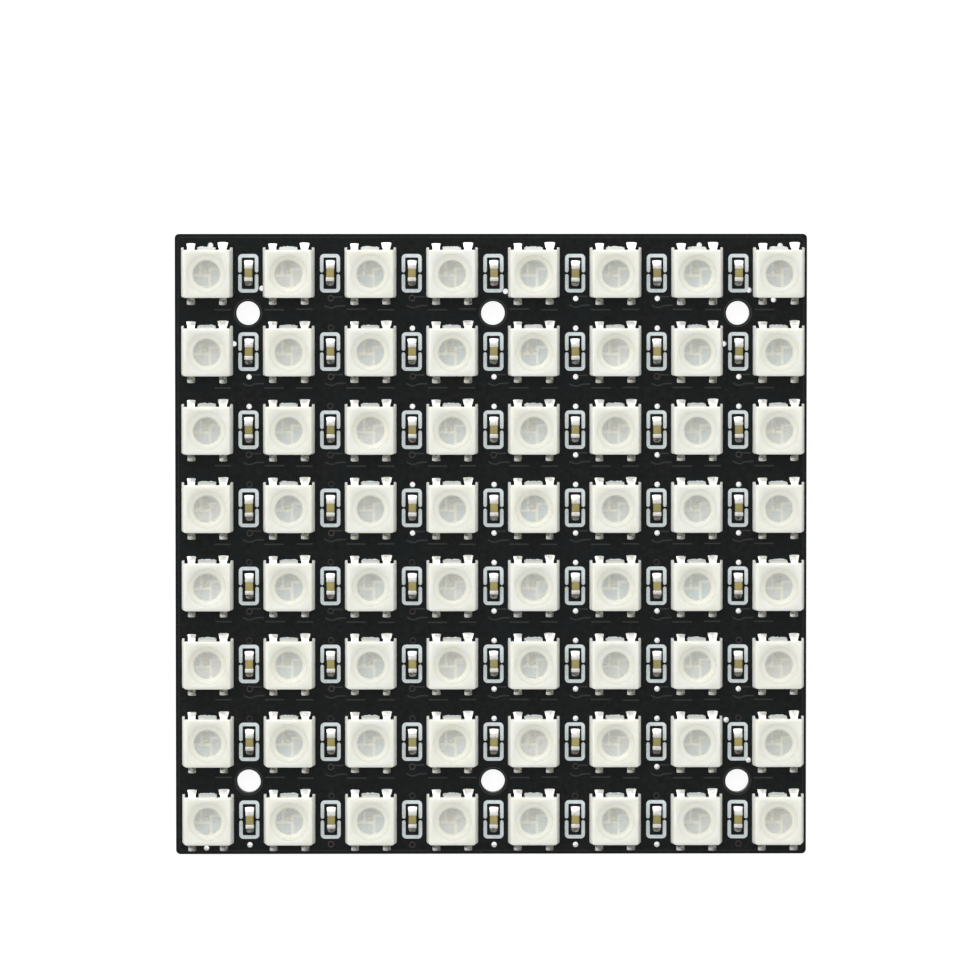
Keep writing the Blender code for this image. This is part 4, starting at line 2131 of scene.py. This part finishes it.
    def resin(self) -> bpy.types.Object:
        """Makes the master of the cup's filling, which wets the rim and sinks in the middle.

        Returns:
            The master.
        """
        shape = bmesh.new()
        profile = [(radius - self.slack, z) for radius, z in self.cup_profile()[:-1]]
        profile[0] = (profile[0][0], self.floor + 2 * self.plate)
        edge = self.rim_radius + self.rim_fillet - self.slack
        hazy = self.hazy_radius
        clear = self.clear_radius
        full = self.full_radius
        radii = [edge, (edge + full) / 2, full, hazy, (hazy + clear) / 2, clear]
        radii += [clear * share for share in self.skin_rings]
        profile += [(radius, self.skin_height(radius)) for radius in radii]
        revolve(shape, profile, self.cup_steps)
        made = to_object("resin", shape)
        mark_points(made, "skin", self.skin_haze)
        # Painted light: the rim mark blends the skin to the lit face colour over the rim fillet.
        mark_points(made, "rim", lambda place: (place.xy.length - full) / (edge - full))
        return made

    def skin_height(self, radius: float) -> float:
        """Returns the height of the resin's skin at this radius."""
        edge = self.rim_radius + self.rim_fillet - self.slack
        return self.height - self.slack - self.skin_sink * (1 - (radius / edge) ** 2)

    def skin_haze(self, place: Vector) -> float:
        """Works out a point's share of the haze: all over the wall, less over the floor, none below.

        Args:
            place: the point.

        Returns:
            Its share, from 0 to 1.
        """
        # Over the wall the haze is partly painted light, a lit skin that hides the wall's shade.
        radius = place.xy.length
        if place.z < self.skin_height(radius) - self.slack / 2:
            return 0.0
        reach = (radius - self.clear_radius) / (self.hazy_radius - self.clear_radius)
        return self.floor_haze + (1 - self.floor_haze) * min(max(reach, 0.0), 1.0)

    def build(self, finishes: Finishes) -> None:
        """Makes all packages, one piece for each kind of part.

        Args:
            finishes: the panel's materials.
        """
        parts = (
            ("led_housings", self.housing, finishes.housing, "led_housing", Seed.HOUSINGS),
            ("led_leads", self.leads, finishes.solder, "solder", Seed.LEADS),
            ("led_leadframes", self.leadframe, finishes.leadframe, "leadframe", Seed.LEADFRAMES),
            ("led_dies", self.dies, finishes.die, "led_die", Seed.DIES),
            ("led_bond_wires", self.wires, finishes.gold, "leadframe", Seed.BOND_WIRES),
            ("led_resin", self.resin, finishes.resin, "led_resin", Seed.RESIN),
        )
        for name, master, finish, slot, seed in parts:
            mount_piece(self.copies.on_grid(name, master(), finish, seed.value))
        for seed, (name, end, side, mound) in enumerate(self.solder_runs(), start=Seed.LEAD_SOLDER.value):
            offset = (side * self.lead_spacing / 2, end.value * self.solder_root)
            master = self.solder(end, mound)
            name = f"led_solder_{name}"
            piece = self.copies.on_grid(name, master, finishes.solder, seed, offset, self.solder_spread)
            mount_piece(piece)


# The capacitors


@dataclass
class Capacitors:
    """The chip capacitors: tan ceramic, tinned ends and the solder at both."""

    layout: Layout
    copies: Copies
    length: float = 1.6 * MM
    width: float = 0.8 * MM
    height: float = 0.8 * MM
    seat: float = 0.03 * MM
    end_length: float = 0.4 * MM
    end_step: float = 0.03 * MM
    softening: float = 0.07 * MM
    softening_steps: int = 2
    ceramic_softening: float = 0.12 * MM
    ceramic_softening_steps: int = 3
    end_dulling: float = 0.22
    # Painted shade on the southern solder, which lies in the chip's shadow.
    south_shade: float = 0.85
    north_solder: Mound = Mound(0.78 * MM, 0.88 * MM, 0.52 * MM, 0.46 * MM, hollow=1.2)
    south_solder: Mound = Mound(
        0.76 * MM, 0.70 * MM, 0.50 * MM, 0.62 * MM, hollow=2.2, sag=0.6, toe_round=0.3
    )
    drift: float = 0.02 * MM
    turn: float = math.radians(1.2)

    def ceramic(self) -> bpy.types.Object:
        """Makes the master of the ceramic between the tinned ends.

        Returns:
            The master.
        """
        shape = bmesh.new()
        half_x = self.width / 2 - self.end_step
        half_y = self.length / 2 - self.end_length / 2
        low = self.seat + self.end_step
        high = self.seat + self.height - self.end_step
        block(shape, (-half_x, -half_y, low), (half_x, half_y, high))
        made = to_object("ceramic", shape)
        soften(made, self.ceramic_softening, self.ceramic_softening_steps)
        return made

    def ends(self) -> bpy.types.Object:
        """Makes the master of the two tinned ends.

        Returns:
            The master.
        """
        shape = bmesh.new()
        for end in End:
            near, far = sorted((end.value * self.length / 2, end.value * (self.length / 2 - self.end_length)))
            block(shape, (-self.width / 2, near, self.seat), (self.width / 2, far, self.seat + self.height))
        made = to_object("ends", shape)
        soften(made, self.softening, self.softening_steps)
        # The ends are greyed evenly all over by this share of the dark solder colour.
        mark_points(made, "stain", lambda place: self.end_dulling)
        return made

    def solder(self) -> bpy.types.Object:
        """Makes the master of the solder at both ends.

        Returns:
            The master.
        """
        shape = bmesh.new()
        root = self.length / 2 - self.softening
        for end, mound in ((End.NORTH, self.north_solder), (End.SOUTH, self.south_solder)):
            mound.add(shape, end, y=end.value * root, z=self.seat)
        made = to_object("chip_solder", shape)
        # Painted shade: the southern solder is darkened as if in the chip's shadow.
        mark_points(made, "stain", lambda place: self.south_shade * (place.y < 0))
        return made

    def build(self, finishes: Finishes) -> None:
        """Makes all capacitors, one piece for each kind of part.

        Args:
            finishes: the panel's materials.
        """
        names = self.layout.capacitor_nodes()
        places = [(node_centre(name).x, node_centre(name).y) for name in names]
        parts = (
            ("capacitor_ceramics", self.ceramic, finishes.ceramic, "capacitor_ceramic", names),
            ("capacitor_ends", self.ends, finishes.solder, "solder", ()),
            ("capacitor_solder", self.solder, finishes.solder, "solder", ()),
        )
        seed = Seed.CAPACITORS.value
        for name, master, finish, slot, replaced in parts:
            piece = self.copies.on_sites(name, master(), finish, places, seed, self.drift, self.turn)
            mount_piece(piece, replaced)


# The studio


@dataclass(frozen=True)
class Studio:
    """A white floor, a soft tent of light that is brightest in the north, and a lamp from there."""

    floor_size: float = 3.0
    floor_gap: float = 0.02 * MM
    floor_colour: Colour = (0.28, 0.28, 0.28)
    floor_roughness: float = 0.9
    floor_glow: float = 0.9
    tent_axis: tuple[float, float, float] = (0.35, -0.87, 0.35)
    tent_dim: float = 0.28
    tent_bright: float = 1.88
    lamp_place: tuple[float, float, float] = (-0.30, 0.80, 0.46)
    lamp_size: float = 0.7
    lamp_power: float = 2.9
    camera_place: tuple[float, float, float] = (-6.0035 * MM, 28.967 * MM, 561.137 * MM)
    camera_turn: tuple[float, float, float] = (-2.326, -0.506, -0.016)
    camera_lens: float = 217.4
    camera_sensor: float = 36.0
    camera_clip: Point2 = (0.01, 20.0)

    def seen_white(self, tree: bpy.types.NodeTree) -> Socket:
        """Adds the mask of rays that see the surroundings as white.

        Args:
            tree: the tree that takes the nodes.

        Returns:
            The socket, 1 for camera, mirror and glass rays.
        """
        rays = tree.nodes.new("ShaderNodeLightPath")
        total = rays.outputs["Is Camera Ray"]
        for label in ("Is Glossy Ray", "Is Transmission Ray"):
            node = tree.nodes.new("ShaderNodeMath")
            node.operation = "MAXIMUM"
            tree.links.new(total, node.inputs[0])
            tree.links.new(rays.outputs[label], node.inputs[1])
            total = node.outputs[0]
        return total

    def floor(self) -> None:
        """Makes the floor, which shows white and keeps the panel's shadow."""
        shape = bmesh.new()
        bmesh.ops.create_grid(shape, x_segments=1, y_segments=1, size=self.floor_size / 2)
        bmesh.ops.translate(shape, vec=(0.0, 0.0, -self.floor_gap), verts=shape.verts)
        mesh = bpy.data.meshes.new("floor")
        shape.to_mesh(mesh)
        shape.free()
        made = new_object("floor", mesh)
        material = bpy.data.materials.new("white_floor")
        material.use_nodes = True
        tree = material.node_tree
        shader = tree.nodes["Principled BSDF"]
        shader.inputs["Base Color"].default_value = (*self.floor_colour, 1.0)
        shader.inputs["Roughness"].default_value = self.floor_roughness
        shader.inputs["Specular IOR Level"].default_value = 0.0
        glow = tree.nodes.new("ShaderNodeEmission")
        strength = tree.nodes.new("ShaderNodeMath")
        strength.operation = "MULTIPLY"
        strength.inputs[1].default_value = self.floor_glow
        tree.links.new(self.seen_white(tree), strength.inputs[0])
        tree.links.new(strength.outputs[0], glow.inputs["Strength"])
        both = tree.nodes.new("ShaderNodeAddShader")
        tree.links.new(shader.outputs[0], both.inputs[0])
        tree.links.new(glow.outputs[0], both.inputs[1])
        tree.links.new(both.outputs[0], tree.nodes["Material Output"].inputs["Surface"])
        mesh.materials.append(material)

    def world(self) -> None:
        """Makes the tent, which falls off along its axis: brightest low in the north-west."""
        world = bpy.data.worlds.new("tent")
        world.use_nodes = True
        tree = world.node_tree
        place = tree.nodes.new("ShaderNodeTexCoord")
        along = tree.nodes.new("ShaderNodeVectorMath")
        along.operation = "DOT_PRODUCT"
        along.inputs[1].default_value = self.tent_axis
        remap = tree.nodes.new("ShaderNodeMapRange")
        remap.inputs["From Min"].default_value = -1.0
        remap.inputs["To Min"].default_value = self.tent_bright
        remap.inputs["To Max"].default_value = self.tent_dim
        rays = tree.nodes.new("ShaderNodeLightPath")
        mix = tree.nodes.new("ShaderNodeMix")
        shown, seen_as = MIX_NUMBERS
        mix.inputs[seen_as].default_value = 1.0
        tree.links.new(place.outputs["Generated"], along.inputs[0])
        tree.links.new(along.outputs["Value"], remap.inputs["Value"])
        tree.links.new(rays.outputs["Is Camera Ray"], mix.inputs[MIX_FACTOR])
        tree.links.new(remap.outputs["Result"], mix.inputs[shown])
        tree.links.new(mix.outputs[MIX_NUMBER_RESULT], tree.nodes["Background"].inputs["Strength"])
        tree.nodes["Background"].inputs["Color"].default_value = WHITE
        bpy.context.scene.world = world

    def lamp(self) -> None:
        """Makes the soft lamp."""
        light = bpy.data.lights.new("north_lamp", "AREA")
        light.shape = "DISK"
        light.size = self.lamp_size
        light.energy = self.lamp_power
        made = bpy.data.objects.new("north_lamp", light)
        made.location = self.lamp_place
        made.rotation_euler = (-Vector(self.lamp_place)).to_track_quat("-Z", "Y").to_euler()
        bpy.context.scene.collection.objects.link(made)

    def camera(self) -> None:
        """Makes the camera, which looks down on the panel."""
        data = bpy.data.cameras.new("camera")
        data.lens = self.camera_lens
        data.sensor_width = self.camera_sensor
        data.clip_start, data.clip_end = self.camera_clip
        made = bpy.data.objects.new("camera", data)
        made.location = self.camera_place
        made.rotation_euler = [math.radians(angle) for angle in self.camera_turn]
        bpy.context.scene.collection.objects.link(made)
        bpy.context.scene.camera = made

    def build(self) -> None:
        """Makes the floor, the light and the camera."""
        self.floor()
        self.world()
        self.lamp()
        self.camera()
        bpy.context.scene.view_settings.view_transform = "Standard"


def main() -> None:
    """Builds every piece in order, then the studio."""
    logging.basicConfig(level=logging.INFO, format="%(name)s %(message)s")
    layout = Layout()
    copies = Copies(layout)
    finishes = Finishes()
    vias = Vias(layout, copies)
    board = CircuitBoard(layout, vias)
    board.build(finishes)
    vias.build(finishes)
    Traces(layout, copies, board).build(finishes)
    Legend(layout, copies).build(finishes)
    LedPackages(layout, copies).build(finishes)
    Capacitors(layout, copies).build(finishes)
    Studio().build()


if __name__ == "__main__":
    main()
